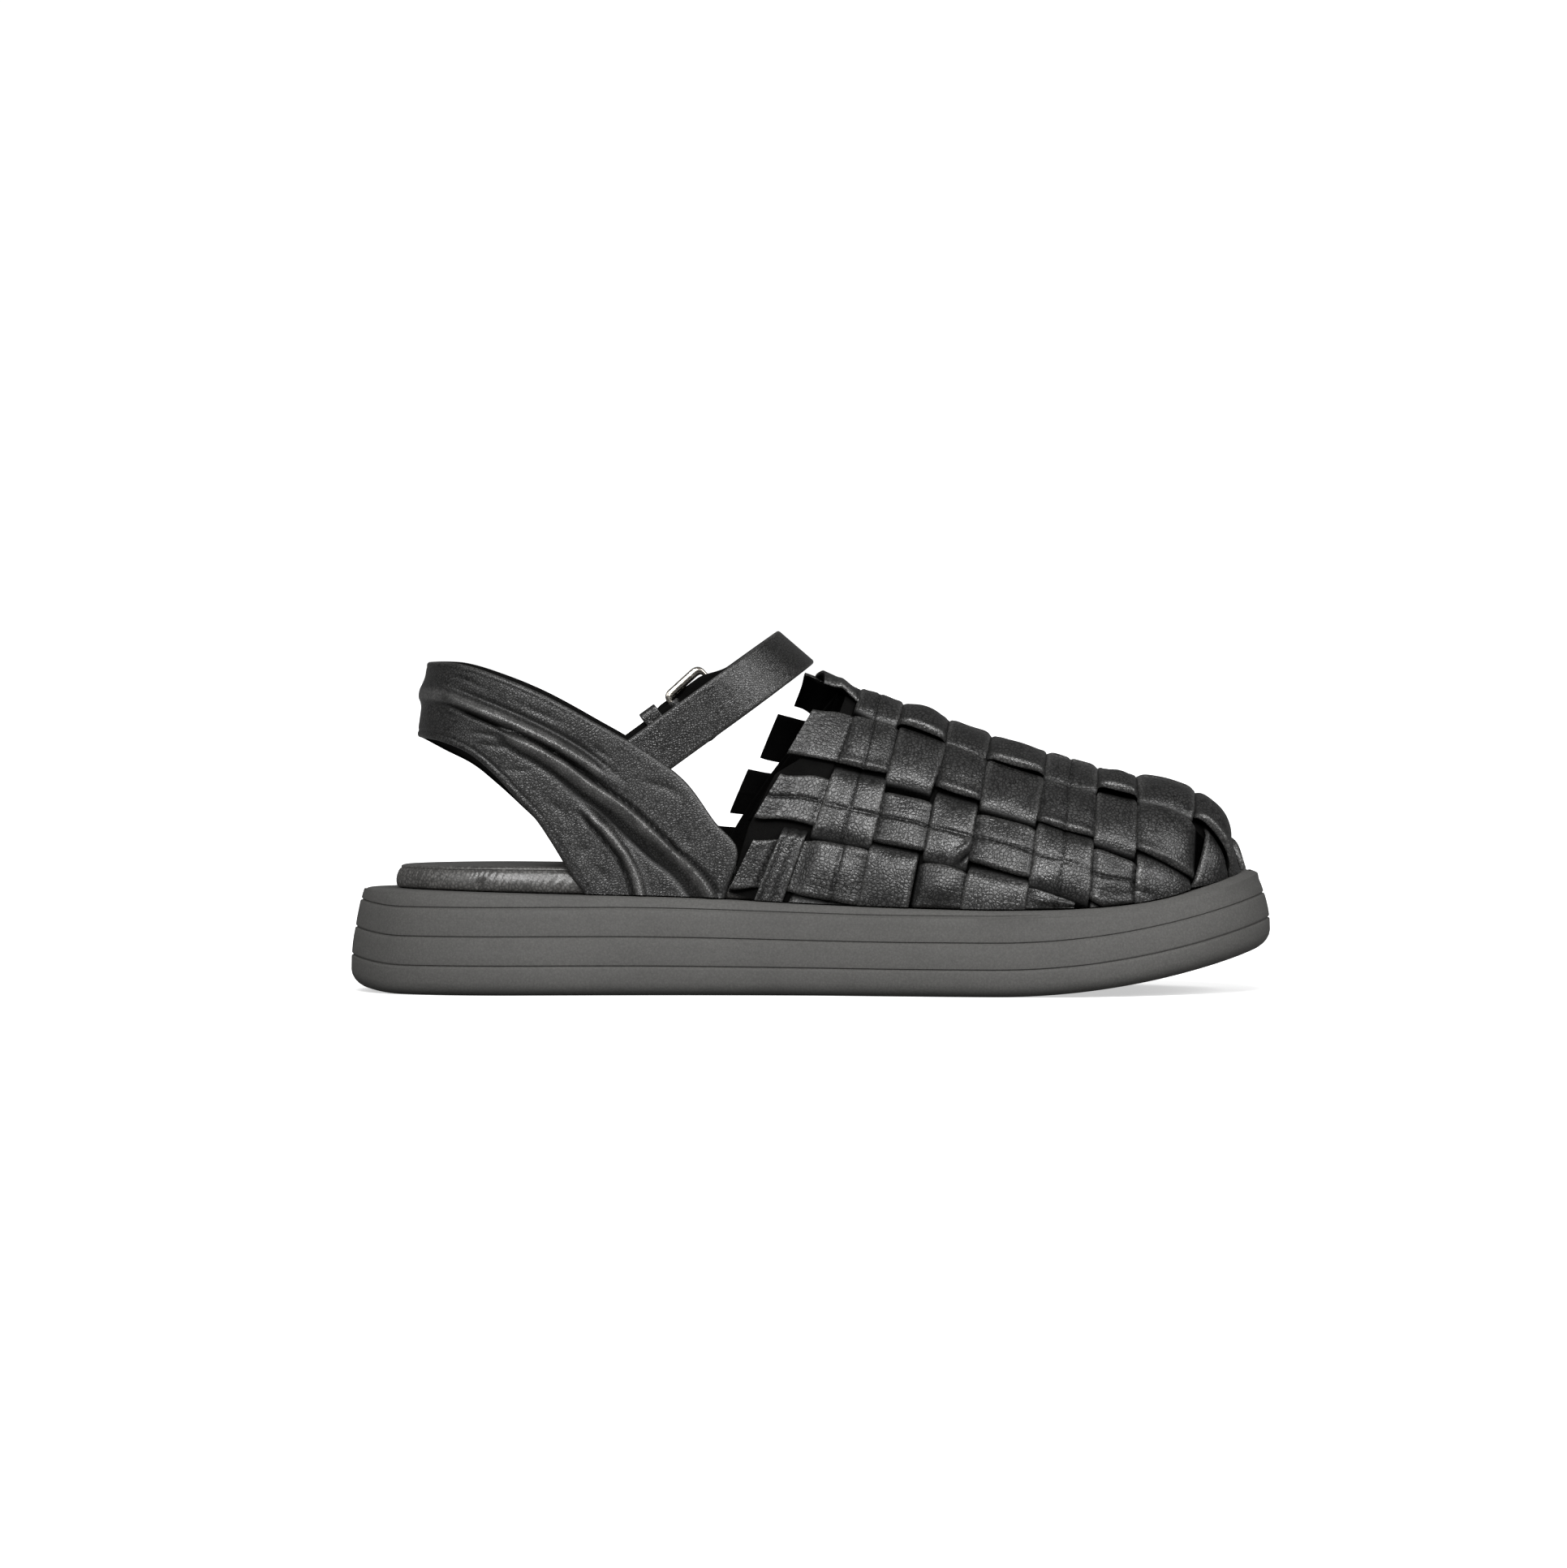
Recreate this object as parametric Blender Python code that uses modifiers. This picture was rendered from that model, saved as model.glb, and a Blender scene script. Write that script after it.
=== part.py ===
"""Woven slingback sandal for a left foot.

A flatform sole and its insole carry a closed-toe woven vamp, a ruched heel band and a buckled ankle strap.
Sizes are in millimetres, and each finished mesh is scaled to metres. +X runs from heel to toe, +Y to the
outer side of the foot and +Z up, with the origin on the ground under the middle of the sole.
"""

import math
from collections import namedtuple

import bmesh
import bpy
from mathutils import Matrix, Vector

MM = 0.001
GAP = 0.3
MERGE = 0.02
TINY = 1e-6
SMOOTH_BELOW = 40.0
MEDIAL, LATERAL = -1, 1

# Sole and insole
SOLE_LENGTH = 268.0
HEEL_FLARE = 4.4
TOE_FLARE = 6.4
HEEL_LEDGE = 8.6
TOE_LEDGE = 4.6
SIDE_LEDGE = 5.5
LEDGE_STARTS = (-60.0, 80.0)
HEEL_BEVEL_START = -118.0
HEEL_BEVEL = 0.0100
TOE_SPRING_START = 52.0
TOE_SPRING = 0.00213
LAYER_AT_HEEL = 8.4
LAYER_AT_BALL = 7.7
LAYER_CHANGE = (-60.0, 30.0)
LEAST_LAYER = 1.6
TOP_LINE = 4
WEDGE_LINE = 3
GROOVE_HALF = 0.45
GROOVE_DEPTH = 0.8
WEDGE_ENDS = (58.0, 82.0)
STATIONS = 30

INSOLE_HEEL = HEEL_FLARE + HEEL_LEDGE - SOLE_LENGTH / 2
INSOLE_TOE = SOLE_LENGTH / 2 - TOE_FLARE - TOE_LEDGE
INSOLE_LENGTH = INSOLE_TOE - INSOLE_HEEL
HEEL_ROUND = 0.14
TOE_ROUND = 0.26
HEEL_FULLNESS = 2.0
TOE_FULLNESS = 2.2

PlanRow = namedtuple("PlanRow", "along centre half")
INSOLE_PLAN = (
    PlanRow(0.00, 0.3, 27.5),
    PlanRow(0.10, 0.3, 28.6),
    PlanRow(0.20, 0.9, 29.2),
    PlanRow(0.35, 2.7, 29.8),
    PlanRow(0.50, 3.5, 33.0),
    PlanRow(0.62, 2.5, 38.6),
    PlanRow(0.70, 0.9, 41.0),
    PlanRow(0.78, -1.1, 41.2),
    PlanRow(0.86, -2.9, 39.6),
    PlanRow(0.94, -4.3, 37.0),
    PlanRow(1.00, -5.1, 35.0),
)

SoleTopRow = namedtuple("SoleTopRow", "x z")
SOLE_TOP = (
    SoleTopRow(-134.0, 30.3),
    SoleTopRow(-112.0, 30.0),
    SoleTopRow(-73.0, 29.0),
    SoleTopRow(-35.0, 28.0),
    SoleTopRow(0.0, 26.2),
    SoleTopRow(25.0, 25.3),
    SoleTopRow(55.0, 24.8),
    SoleTopRow(83.0, 25.6),
    SoleTopRow(102.0, 28.0),
    SoleTopRow(119.0, 32.9),
    SoleTopRow(130.0, 36.6),
)

InsoleTopRow = namedtuple("InsoleTopRow", "x z")
INSOLE_TOP = (
    InsoleTopRow(-121.0, 37.1),
    InsoleTopRow(-73.0, 36.9),
    InsoleTopRow(-35.0, 35.8),
    InsoleTopRow(0.0, 34.4),
    InsoleTopRow(30.0, 33.0),
    InsoleTopRow(60.0, 32.6),
    InsoleTopRow(90.0, 33.6),
    InsoleTopRow(110.0, 37.0),
    InsoleTopRow(123.0, 40.4),
)

# Each ring of the sole: the layer line that it follows, its lift above the line, how far up the flare
# it lies, and its inset from the flare
RingRow = namedtuple("RingRow", "line lift flare inset")
SOLE_RINGS = (
    RingRow(0, 0.0, 0.0, 4.2),
    RingRow(0, 1.3, 0.0, 1.5),
    RingRow(0, 3.8, 0.0, 0.0),
    RingRow(1, -GROOVE_HALF, 0.08, 0.0),
    RingRow(1, 0.0, 0.09, GROOVE_DEPTH),
    RingRow(1, GROOVE_HALF, 0.10, 0.0),
    RingRow(2, -GROOVE_HALF, 0.42, 0.0),
    RingRow(2, 0.0, 0.43, GROOVE_DEPTH),
    RingRow(2, GROOVE_HALF, 0.44, 0.0),
    RingRow(WEDGE_LINE, -GROOVE_HALF, 0.74, 0.0),
    RingRow(WEDGE_LINE, 0.0, 0.75, GROOVE_DEPTH),
    RingRow(WEDGE_LINE, GROOVE_HALF, 0.76, 0.0),
    RingRow(TOP_LINE, -0.8, 0.97, 0.0),
    RingRow(TOP_LINE, 0.0, 1.0, 0.7),
)
FLARE_CURVE = 1.5
SEAT_OFFSET = 2.0
CAP_INSET = 16.0

# Each ring of the insole: its height as a share of the thickness, and its inset
InsoleRingRow = namedtuple("InsoleRingRow", "height inset")
INSOLE_RINGS = (
    InsoleRingRow(0.0, 0.7),
    InsoleRingRow(0.12, 0.1),
    InsoleRingRow(0.78, 1.1),
    InsoleRingRow(0.95, 2.0),
    InsoleRingRow(1.0, 3.4),
    InsoleRingRow(0.96, 12.0),
)

# Woven vamp: a row for each transverse strip, from the tab ends through the collar strip to the toe tip.
# It gives the crest point, the base on either side, how flat the crown is and how high the walls stand
VAMP_CLEARANCE = 0.6
VAMP_WALL = 1.2
STRIP_RELIEF = 1.8
CREST_SHARE = 0.45
LATERAL_SWEEP = 1.35
GIRTH_STEPS = 32

SectionRow = namedtuple("SectionRow", "crest_x crest_z medial_x lateral_x crown wall")
VAMP_SECTIONS = (
    SectionRow(1.0, 90.2, -23.4, -35.0, 0.64, 0.48),
    SectionRow(10.6, 86.8, -13.0, -23.5, 0.62, 0.48),
    SectionRow(20.0, 83.2, 6.0, -0.5, 0.57, 0.48),
    SectionRow(33.0, 79.0, 22.5, 18.5, 0.52, 0.48),
    SectionRow(46.0, 73.9, 37.0, 34.0, 0.49, 0.48),
    SectionRow(60.6, 69.4, 52.6, 50.5, 0.48, 0.48),
    SectionRow(75.0, 64.6, 70.2, 69.0, 0.48, 0.50),
    SectionRow(90.4, 60.7, 88.0, 87.5, 0.50, 0.52),
    SectionRow(105.0, 58.2, 103.2, 103.0, 0.52, 0.54),
    SectionRow(116.8, 51.4, 114.8, 114.6, 0.54, 0.55),
    SectionRow(123.6, 35.6, 123.6, 123.6, 0.54, 0.55),
)
FIRST_SECTION = -1
TOE_SECTION = FIRST_SECTION + len(VAMP_SECTIONS) - 1

LONG_STRIPS = 8
LONG_PITCH = 18.4
LONG_WIDTH = 15.0
LONG_SHOULDER = 6.1
CROSS_SHOULDER = 0.08
EDGE_DROP = 0.35
COLLAR_EDGES = (-0.25, 0.3)
TAB_MIDDLE = -0.6
TOE_ROWS = (8.65, 8.85)
COLLAR_LIFT = 0.5
BASE_SNAP = 1.8
HOLE_MARGIN = 4.0

# Sections between which each cross strip lies at its edges
CROSS_EDGES = (
    (0.41, 1.47),
    (1.53, 2.47),
    (2.56, 3.38),
    (3.47, 4.50),
    (4.56, 5.50),
    (5.56, 6.25),
    (6.32, 7.42),
    (7.50, 8.42),
)
CROSS_STRIPS = len(CROSS_EDGES)

# How far each long strip lies to the outer side of its even place, at each section from the tab ends on
STRIP_SHIFTS = (
    (-2.6, 0.4, 1.9, 1.7, 1.4, 1.0, 0.5, 0.0, 0.0, 0.0),
    (0.0, 2.0, 2.0, 1.8, 1.4, 0.8, 0.0, -1.0, -0.8, 0.0),
    (2.3, 4.1, 5.0, 4.4, 3.3, 1.4, -0.4, -0.2, 0.6, 0.8),
    (3.8, 4.2, 3.6, 2.4, 0.8, -1.0, -0.6, 0.0, 0.4, 0.6),
    (4.6, 4.5, 3.8, 2.6, 1.4, 0.4, 0.0, 0.0, 0.0, 0.0),
    (6.3, 5.2, 3.7, 2.2, 1.0, 0.4, 0.0, 0.0, 0.0, 0.0),
    (7.5, 5.8, 3.8, 2.2, 1.0, 0.4, 0.0, 0.0, 0.0, 0.0),
    (8.7, 6.4, 3.9, 2.2, 1.0, 0.4, 0.0, 0.0, 0.0, 0.0),
)

# Heel band: a row for each line across the band, from the back seam to the base in front of the waist.
# set_back and drop are how much further back its upper end and how much lower its lower end lie on the
# outer side of the foot
BAND_WALL = 2.0
FOLD_RELIEF = 2.0
BAND_LEAN = 0.10
BAND_HEIGHT = 68.0
BAND_TURN = -78.0
BAND_COLUMNS = 36
BAND_ROWS = 13

BandRow = namedtuple("BandRow", "low_x low_z top_x top_z set_back drop")
BAND_LINES = (
    BandRow(-112.8, 73.8, -109.8, 95.8, 0.0, 0.0),
    BandRow(-106.8, 73.0, -100.5, 95.4, 0.0, 3.0),
    BandRow(-98.6, 69.6, -89.4, 91.9, 0.0, 4.2),
    BandRow(-91.3, 63.6, -76.6, 86.4, 0.0, 4.4),
    BandRow(-84.9, 56.5, -62.4, 78.7, 0.2, 3.4),
    BandRow(-79.7, 50.9, -49.3, 71.3, 1.0, 3.0),
    BandRow(-75.4, 44.6, -36.6, 62.0, 4.0, 2.4),
    BandRow(-71.6, 38.4, -27.8, 50.2, 8.0, 1.2),
    BandRow(-68.8, 33.9, -21.0, 41.4, 11.0, 0.0),
    BandRow(-65.5, 29.6, -24.8, 27.6, 12.0, 0.0),
)
BAND_END = len(BAND_LINES) - 1

# The folds gathered into the band: height, half width, and where across the band each line meets them
Fold = namedtuple("Fold", "height half first across")
BAND_FOLDS = (
    Fold(1.6, 2.0, 0, (0.56, 0.54, 0.53, 0.56, 0.61, 0.60)),
    Fold(2.0, 2.6, 3, (0.42, 0.46, 0.47, 0.51, 0.57, 0.61, 0.88)),
    Fold(1.4, 2.2, 6, (0.33, 0.36, 0.35, 0.38)),
)
FOLD_FADE = 0.7

# Ankle strap: it leaves the band at STRAP_FOOT, and runs up and forward to the loop over the instep
STRAP_FOOT = (-44.8, 70.7)
STRAP_RISE = 35.9
STRAP_WIDTH = 14.2
STRAP_THICKNESS = 1.6
STRAP_TUCK = 15.0
STRAP_TIP = 1.7
STRAP_TWIST = 13.4
TUCK_SPLAY = 0.05
OUTER_SPLAY = 0.04
OUTER_LIFT = 2.0
OUTER_TILT = 0.06
LOOP_START = 22.0
LOOP_HEIGHT = 27.0
LOOP_STEPS = 18
LEG_STEPS = 5
TIP_STEPS = 10
STRAP_COLUMNS = 2

# Buckle on the outer leg: distances run up the strap from its foot, depths outward from its inner face
BAR_BACK = (12.5, 0.9)
BAR_FRONT = (25.5, 2.7)
BUCKLE_WIRE = 0.75
BUCKLE_HALF = 8.8
BUCKLE_CORNER = 2.0
TAB_THICKNESS = 1.4
TAB_WIDTH = 12.0
TAB_TUCK = 13.0
CURL_OUTER = 1.75
CURL_HOLE = 1.05
CURL_STEPS = 14
HOLE_STEPS = 12
CORNER_STEPS = 3
PRONG_RADIUS = 0.65
PRONG_ENDS = ((15.7, 1.75), (26.9, 4.7))
SLOT_CENTRE = 19.3
SLOT_HALF_LENGTH = 3.3
SLOT_HALF_WIDTH = 1.15
SLOT_DEPTH = 12.0
SLOT_SIDES = 16
KEEPER_CENTRE = 5.5
KEEPER_WIDTH = 5.0
KEEPER_WALL = 1.1
OVER_BAR = 3.0
OVER_TAB = TAB_THICKNESS + GAP
HUMP_FRONT = (24.5, 15.0)
HUMP_BACK = (11.0, 8.2)

Finish = namedtuple("Finish", "colour roughness metallic")
RUBBER = Finish((0.075, 0.073, 0.070), 0.75, 0.0)
LEATHER = Finish((0.014, 0.014, 0.014), 0.48, 0.0)
LINING = Finish((0.030, 0.029, 0.028), 0.60, 0.0)
STEEL = Finish((0.62, 0.61, 0.58), 0.25, 1.0)


def column(rows, name):
    return [getattr(row, name) for row in rows]


def curve_through(stations, values):
    """A smooth curve through the values, whose slope at each station comes from its neighbours."""
    last = len(stations) - 1
    slopes = []
    for i in range(last + 1):
        before = max(i - 1, 0)
        after = min(i + 1, last)
        slopes.append((values[after] - values[before]) / (stations[after] - stations[before]))

    def value_at(where):
        where = min(max(where, stations[0]), stations[last])
        i = 0
        while i < last - 1 and where > stations[i + 1]:
            i += 1
        span = stations[i + 1] - stations[i]
        t = (where - stations[i]) / span
        rise = values[i + 1] - values[i]
        bend = span * (slopes[i] * (1 - t) - slopes[i + 1] * t)
        return values[i] + rise * t * t * (3 - 2 * t) + t * (1 - t) * bend

    return value_at


def ramp(start, end, where):
    """0 before start, 1 past end, and a smooth rise between them; start may lie past end."""
    t = min(max((where - start) / (end - start), 0.0), 1.0)
    return t * t * (3 - 2 * t)


PLAN_ALONG = column(INSOLE_PLAN, "along")
plan_centre = curve_through(PLAN_ALONG, column(INSOLE_PLAN, "centre"))
plan_half = curve_through(PLAN_ALONG, column(INSOLE_PLAN, "half"))
sole_top = curve_through(column(SOLE_TOP, "x"), column(SOLE_TOP, "z"))
insole_top = curve_through(column(INSOLE_TOP, "x"), column(INSOLE_TOP, "z"))


def end_round(depth, fullness):
    """Share of the breadth left at a depth into a rounded end, from 1 where it starts to 0 at its tip."""
    return max(1 - max(depth, 0.0) ** fullness, 0.0) ** (1 / fullness)


def insole_half(x):
    along = (x - INSOLE_HEEL) / INSOLE_LENGTH
    heel = end_round((HEEL_ROUND - along) / HEEL_ROUND, HEEL_FULLNESS)
    toe = end_round((along - 1 + TOE_ROUND) / TOE_ROUND, TOE_FULLNESS)
    return plan_half(along) * heel * toe


def insole_centre(x):
    return plan_centre((x - INSOLE_HEEL) / INSOLE_LENGTH)


def insole_edge(x, side):
    return insole_centre(x) + side * insole_half(x)


def station_x(station):
    return INSOLE_HEEL + INSOLE_LENGTH * (1 - math.cos(math.pi * station / STATIONS)) / 2


def plan_loop():
    """The insole's outline as points with outward normals, up the outer side and back down the inner."""
    points = []
    for i in range(2 * STATIONS):
        station = i if i <= STATIONS else 2 * STATIONS - i
        side = LATERAL if i <= STATIONS else MEDIAL
        x = station_x(station)
        points.append(Vector((x, insole_edge(x, side))))
    normals = []
    for i in range(len(points)):
        along = points[(i + 1) % len(points)] - points[i - 1]
        normals.append(Vector((-along.y, along.x)).normalized())
    return points, normals


LOOP_POINTS, LOOP_NORMALS = plan_loop()


def loop_point(i, offset):
    i %= 2 * STATIONS
    return LOOP_POINTS[i] + LOOP_NORMALS[i] * offset


def loop_middle(i):
    """The point of the centre line at the same station as point i of the outline."""
    i %= 2 * STATIONS
    x = station_x(i if i <= STATIONS else 2 * STATIONS - i)
    return Vector((x, insole_centre(x)))


def sole_bottom(x):
    heel = max(HEEL_BEVEL_START - x, 0.0)
    toe = max(x - TOE_SPRING_START, 0.0)
    return HEEL_BEVEL * heel * heel + TOE_SPRING * toe * toe


def layer_line(line, x):
    """Height of the ground face, of one of the three lines round the side, or of the top face."""
    if line == TOP_LINE:
        return sole_top(x)
    layer = LAYER_AT_HEEL + (LAYER_AT_BALL - LAYER_AT_HEEL) * ramp(*LAYER_CHANGE, x)
    below_top = sole_top(x) - (TOP_LINE - line) * LEAST_LAYER
    return min(sole_bottom(x) + line * layer, below_top)


def ledge(x):
    """Breadth of the sole's top face outside the insole."""
    heel = ramp(LEDGE_STARTS[0], INSOLE_HEEL, x)
    toe = ramp(LEDGE_STARTS[1], INSOLE_TOE, x)
    return SIDE_LEDGE + (HEEL_LEDGE - SIDE_LEDGE) * heel + (TOE_LEDGE - SIDE_LEDGE) * toe


def flare(x):
    """How far the sole's side spreads from its top face to its widest line."""
    return HEEL_FLARE + (TOE_FLARE - HEEL_FLARE) * ramp(LEDGE_STARTS[1], INSOLE_TOE, x)


def finish_material(name, finish):
    material = bpy.data.materials.new(name)
    material.use_nodes = True
    shader = material.node_tree.nodes["Principled BSDF"]
    shader.inputs["Base Color"].default_value = (*finish.colour, 1.0)
    shader.inputs["Roughness"].default_value = finish.roughness
    shader.inputs["Metallic"].default_value = finish.metallic
    return material


def add_part(name, data, collection, finish):
    part = bpy.data.objects.new(name, data)
    data.materials.append(finish_material(name, finish))
    collection.objects.link(part)
    return part


def grid_mesh(name, columns, rows, place, keep=None, weight=None, closed=False, flip=False):
    """A grid of cells whose corners are moved to place(column, row), with corners that coincide merged.

    keep says which cells stay, weight gives each corner's share of the wall's thickness, closed turns the
    faces of a whole body outward, and flip turns over an open surface.
    """
    bm = bmesh.new()
    bmesh.ops.create_grid(bm, x_segments=columns, y_segments=rows, size=1.0)
    deform = bm.verts.layers.deform.verify()
    if keep:
        dropped = []
        for face in bm.faces:
            centre = face.calc_center_median()
            if not keep(int((centre.x + 1) / 2 * columns), int((centre.y + 1) / 2 * rows)):
                dropped.append(face)
        bmesh.ops.delete(bm, geom=dropped, context="FACES")
    for corner in bm.verts:
        i = round((corner.co.x + 1) / 2 * columns)
        k = round((corner.co.y + 1) / 2 * rows)
        corner.co = place(i, k)
        if weight:
            corner[deform][0] = weight(i, k)
    bmesh.ops.remove_doubles(bm, verts=bm.verts, dist=MERGE)
    if closed:
        bmesh.ops.recalc_face_normals(bm, faces=bm.faces)
    if flip:
        bmesh.ops.reverse_faces(bm, faces=bm.faces)
    bmesh.ops.scale(bm, vec=Vector((MM, MM, MM)), verts=bm.verts)
    mesh = bpy.data.meshes.new(name)
    bm.to_mesh(mesh)
    bm.free()
    mesh.shade_smooth()
    mesh.set_sharp_from_angle(angle=math.radians(SMOOTH_BELOW))
    return mesh


def thicken(part, thickness, group=None):
    """Give an open surface its wall, built outward and scaled by the weights of the named group."""
    wall = part.modifiers.new("wall", "SOLIDIFY")
    wall.thickness = thickness * MM
    wall.offset = 1.0
    wall.use_even_offset = False
    if group:
        part.vertex_groups.new(name=group)
        wall.vertex_group = group
        wall.thickness_vertex_group = 0.0
    return wall


def build_sole(collection):
    """The flatform: rings round its outline from the ground face to the ledge that carries the upper."""
    rows = len(SOLE_RINGS) + 2

    def place(i, k):
        if k in (0, rows):
            point = loop_middle(i)
            z = sole_bottom(point.x) if k == 0 else sole_top(point.x)
            return Vector((point.x, point.y, z))
        if k == rows - 1:
            point = loop_point(i, SEAT_OFFSET)
            return Vector((point.x, point.y, sole_top(point.x)))
        ring = SOLE_RINGS[k - 1]
        x = LOOP_POINTS[i % (2 * STATIONS)].x
        inset = ring.inset
        if ring.line == WEDGE_LINE:
            inset *= 1 - ramp(*WEDGE_ENDS, x)
        spread = flare(x) * (1 - ring.flare ** FLARE_CURVE)
        point = loop_point(i, ledge(x) + spread - inset)
        return Vector((point.x, point.y, layer_line(ring.line, point.x) + ring.lift))

    mesh = grid_mesh("sole", 2 * STATIONS, rows, place, closed=True)
    return add_part("sole", mesh, collection, RUBBER)


def build_insole(collection):
    """The leather-wrapped footbed, with drawn-in sides and a slightly dished top."""
    rows = len(INSOLE_RINGS) + 1

    def place(i, k):
        if k in (0, rows):
            point = loop_middle(i)
            point.x = min(max(point.x, INSOLE_HEEL + CAP_INSET), INSOLE_TOE - CAP_INSET)
            point.y = insole_centre(point.x)
            share = 0.0 if k == 0 else INSOLE_RINGS[-1].height
        else:
            ring = INSOLE_RINGS[k - 1]
            point = loop_point(i, -ring.inset)
            share = ring.height
        bottom = sole_top(point.x) + GAP
        return Vector((point.x, point.y, bottom + share * (insole_top(point.x) - bottom)))

    mesh = grid_mesh("insole", 2 * STATIONS, rows, place, closed=True)
    return add_part("insole", mesh, collection, LINING)


SECTION_NUMBERS = list(range(FIRST_SECTION, TOE_SECTION + 1))
section_curves = {
    name: curve_through(SECTION_NUMBERS, column(VAMP_SECTIONS, name)) for name in SectionRow._fields
}


def vamp_base(section, side):
    x = section_curves["medial_x" if side == MEDIAL else "lateral_x"](section)
    y = insole_edge(min(x, INSOLE_TOE), side) + side * VAMP_CLEARANCE * (section < TOE_SECTION)
    wall_reach = (VAMP_WALL + STRIP_RELIEF) * ramp(TOE_SPRING_START, INSOLE_TOE, x)
    return Vector((x, y, sole_top(x + wall_reach) + GAP))


def half_section(section, side):
    """Points of one half of a section of the last, from its crest to its base, with the girth at each."""
    base = vamp_base(section, side)
    across = vamp_base(section, -side)
    share = CREST_SHARE if side == MEDIAL else 1 - CREST_SHARE
    crest_x = section_curves["crest_x"](section)
    crest_z = section_curves["crest_z"](section)
    crest = Vector((crest_x, base.y + (across.y - base.y) * share, crest_z))
    crown = section_curves["crown"](section)
    wall = section_curves["wall"](section)
    sweep = LATERAL_SWEEP if side == LATERAL else 1.0
    points, girths = [], []
    for step in range(GIRTH_STEPS + 1):
        t = step / GIRTH_STEPS
        s = 1 - t
        out = 3 * s * s * t * crown + 3 * s * t * t + t ** 3
        up = s ** 3 + 3 * s * s * t + 3 * s * t * t * wall
        x = base.x + (crest.x - base.x) * up ** sweep
        y = crest.y + (base.y - crest.y) * out
        z = base.z + (crest.z - base.z) * up
        points.append(Vector((x, y, z)))
        before = girths[-1] if girths else 0.0
        girths.append(before + (points[-1] - points[max(step - 1, 0)]).length)
    return points, girths


CROSS_MIDDLES = [(low + high) / 2 for low, high in CROSS_EDGES]
strip_shifts = [curve_through(SECTION_NUMBERS[:-1], shifts) for shifts in STRIP_SHIFTS]
half_sections = {}


def cached_half(section, side):
    if (section, side) not in half_sections:
        half_sections[section, side] = half_section(section, side)
    return half_sections[section, side]


def held_girth(section, girth):
    """The girth drawn in to the base, where it lies past the base or just short of it."""
    side = MEDIAL if girth < 0 else LATERAL
    whole = cached_half(section, side)[1][-1]
    if abs(girth) > whole - BASE_SNAP:
        return side * whole
    return girth


def last_point(section, girth):
    """A point of the last, girth being the distance from the crest round the section."""
    points, girths = cached_half(section, MEDIAL if girth < 0 else LATERAL)
    step = 1
    while step < GIRTH_STEPS and girths[step] < abs(girth):
        step += 1
    span = girths[step] - girths[step - 1]
    t = (abs(girth) - girths[step - 1]) / span if span > 0 else 0.0
    return points[step - 1].lerp(points[step], min(t, 1.0))


def strip_middle(strip, section):
    """Girth of a long strip's middle at a section."""
    even = (strip - (LONG_STRIPS - 1) / 2) * LONG_PITCH
    return even + strip_shifts[strip](section)


def number_between(middles, place):
    """A place as a number among the strips' middles, with fractions between them and beyond the outermost."""
    i = 0
    while i < len(middles) - 2 and place > middles[i + 1]:
        i += 1
    return i + (place - middles[i]) / (middles[i + 1] - middles[i])


def plateau(from_middle, shoulder, half):
    """A strip's height across its width: level to its shoulders, low at its edges, none beyond them."""
    if from_middle > half + TINY:
        return 0.0
    return 1 - (1 - EDGE_DROP) * max(from_middle - shoulder, 0.0) / (half - shoulder)


def weave_height(section, girth):
    """Height of the weave above the wall. Long strip k lies over cross strip n where k + n is odd."""
    middles = [strip_middle(k, section) for k in range(LONG_STRIPS)]
    strip = number_between(middles, girth)
    nearest = min(max(round(strip), 0), LONG_STRIPS - 1)
    cross = 1 + number_between(CROSS_MIDDLES, section)
    long_wave = (1 - math.cos(math.pi * (nearest + cross))) / 2
    if section < COLLAR_EDGES[1]:
        long_wave = max(long_wave, COLLAR_LIFT)
    long_edge = plateau(abs(girth - middles[nearest]), LONG_SHOULDER, LONG_WIDTH / 2)
    row = min(max(round(cross), 1), CROSS_STRIPS) - 1
    cross_wave = (1 - math.cos(math.pi * (strip + row))) / 2
    half = (CROSS_EDGES[row][1] - CROSS_EDGES[row][0]) / 2
    cross_edge = plateau(abs(section - CROSS_MIDDLES[row]), half - CROSS_SHOULDER, half)
    return STRIP_RELIEF * max(long_wave * long_edge, cross_wave * cross_edge)


def vamp_lines():
    """Strip and offset from its middle, and section, on which the wall's corners lie."""
    columns = [(0, -math.inf)]
    for k in range(LONG_STRIPS):
        for offset in (-LONG_WIDTH / 2, -LONG_SHOULDER, 0.0, LONG_SHOULDER, LONG_WIDTH / 2):
            columns.append((k, offset))
    columns.append((LONG_STRIPS - 1, math.inf))
    sections = [FIRST_SECTION, TAB_MIDDLE, COLLAR_EDGES[0], 0.0, COLLAR_EDGES[1]]
    for low, high in CROSS_EDGES:
        sections += [low, low + CROSS_SHOULDER, (low + high) / 2, high - CROSS_SHOULDER, high]
    sections += [*TOE_ROWS, TOE_SECTION]
    return columns, sections


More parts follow.
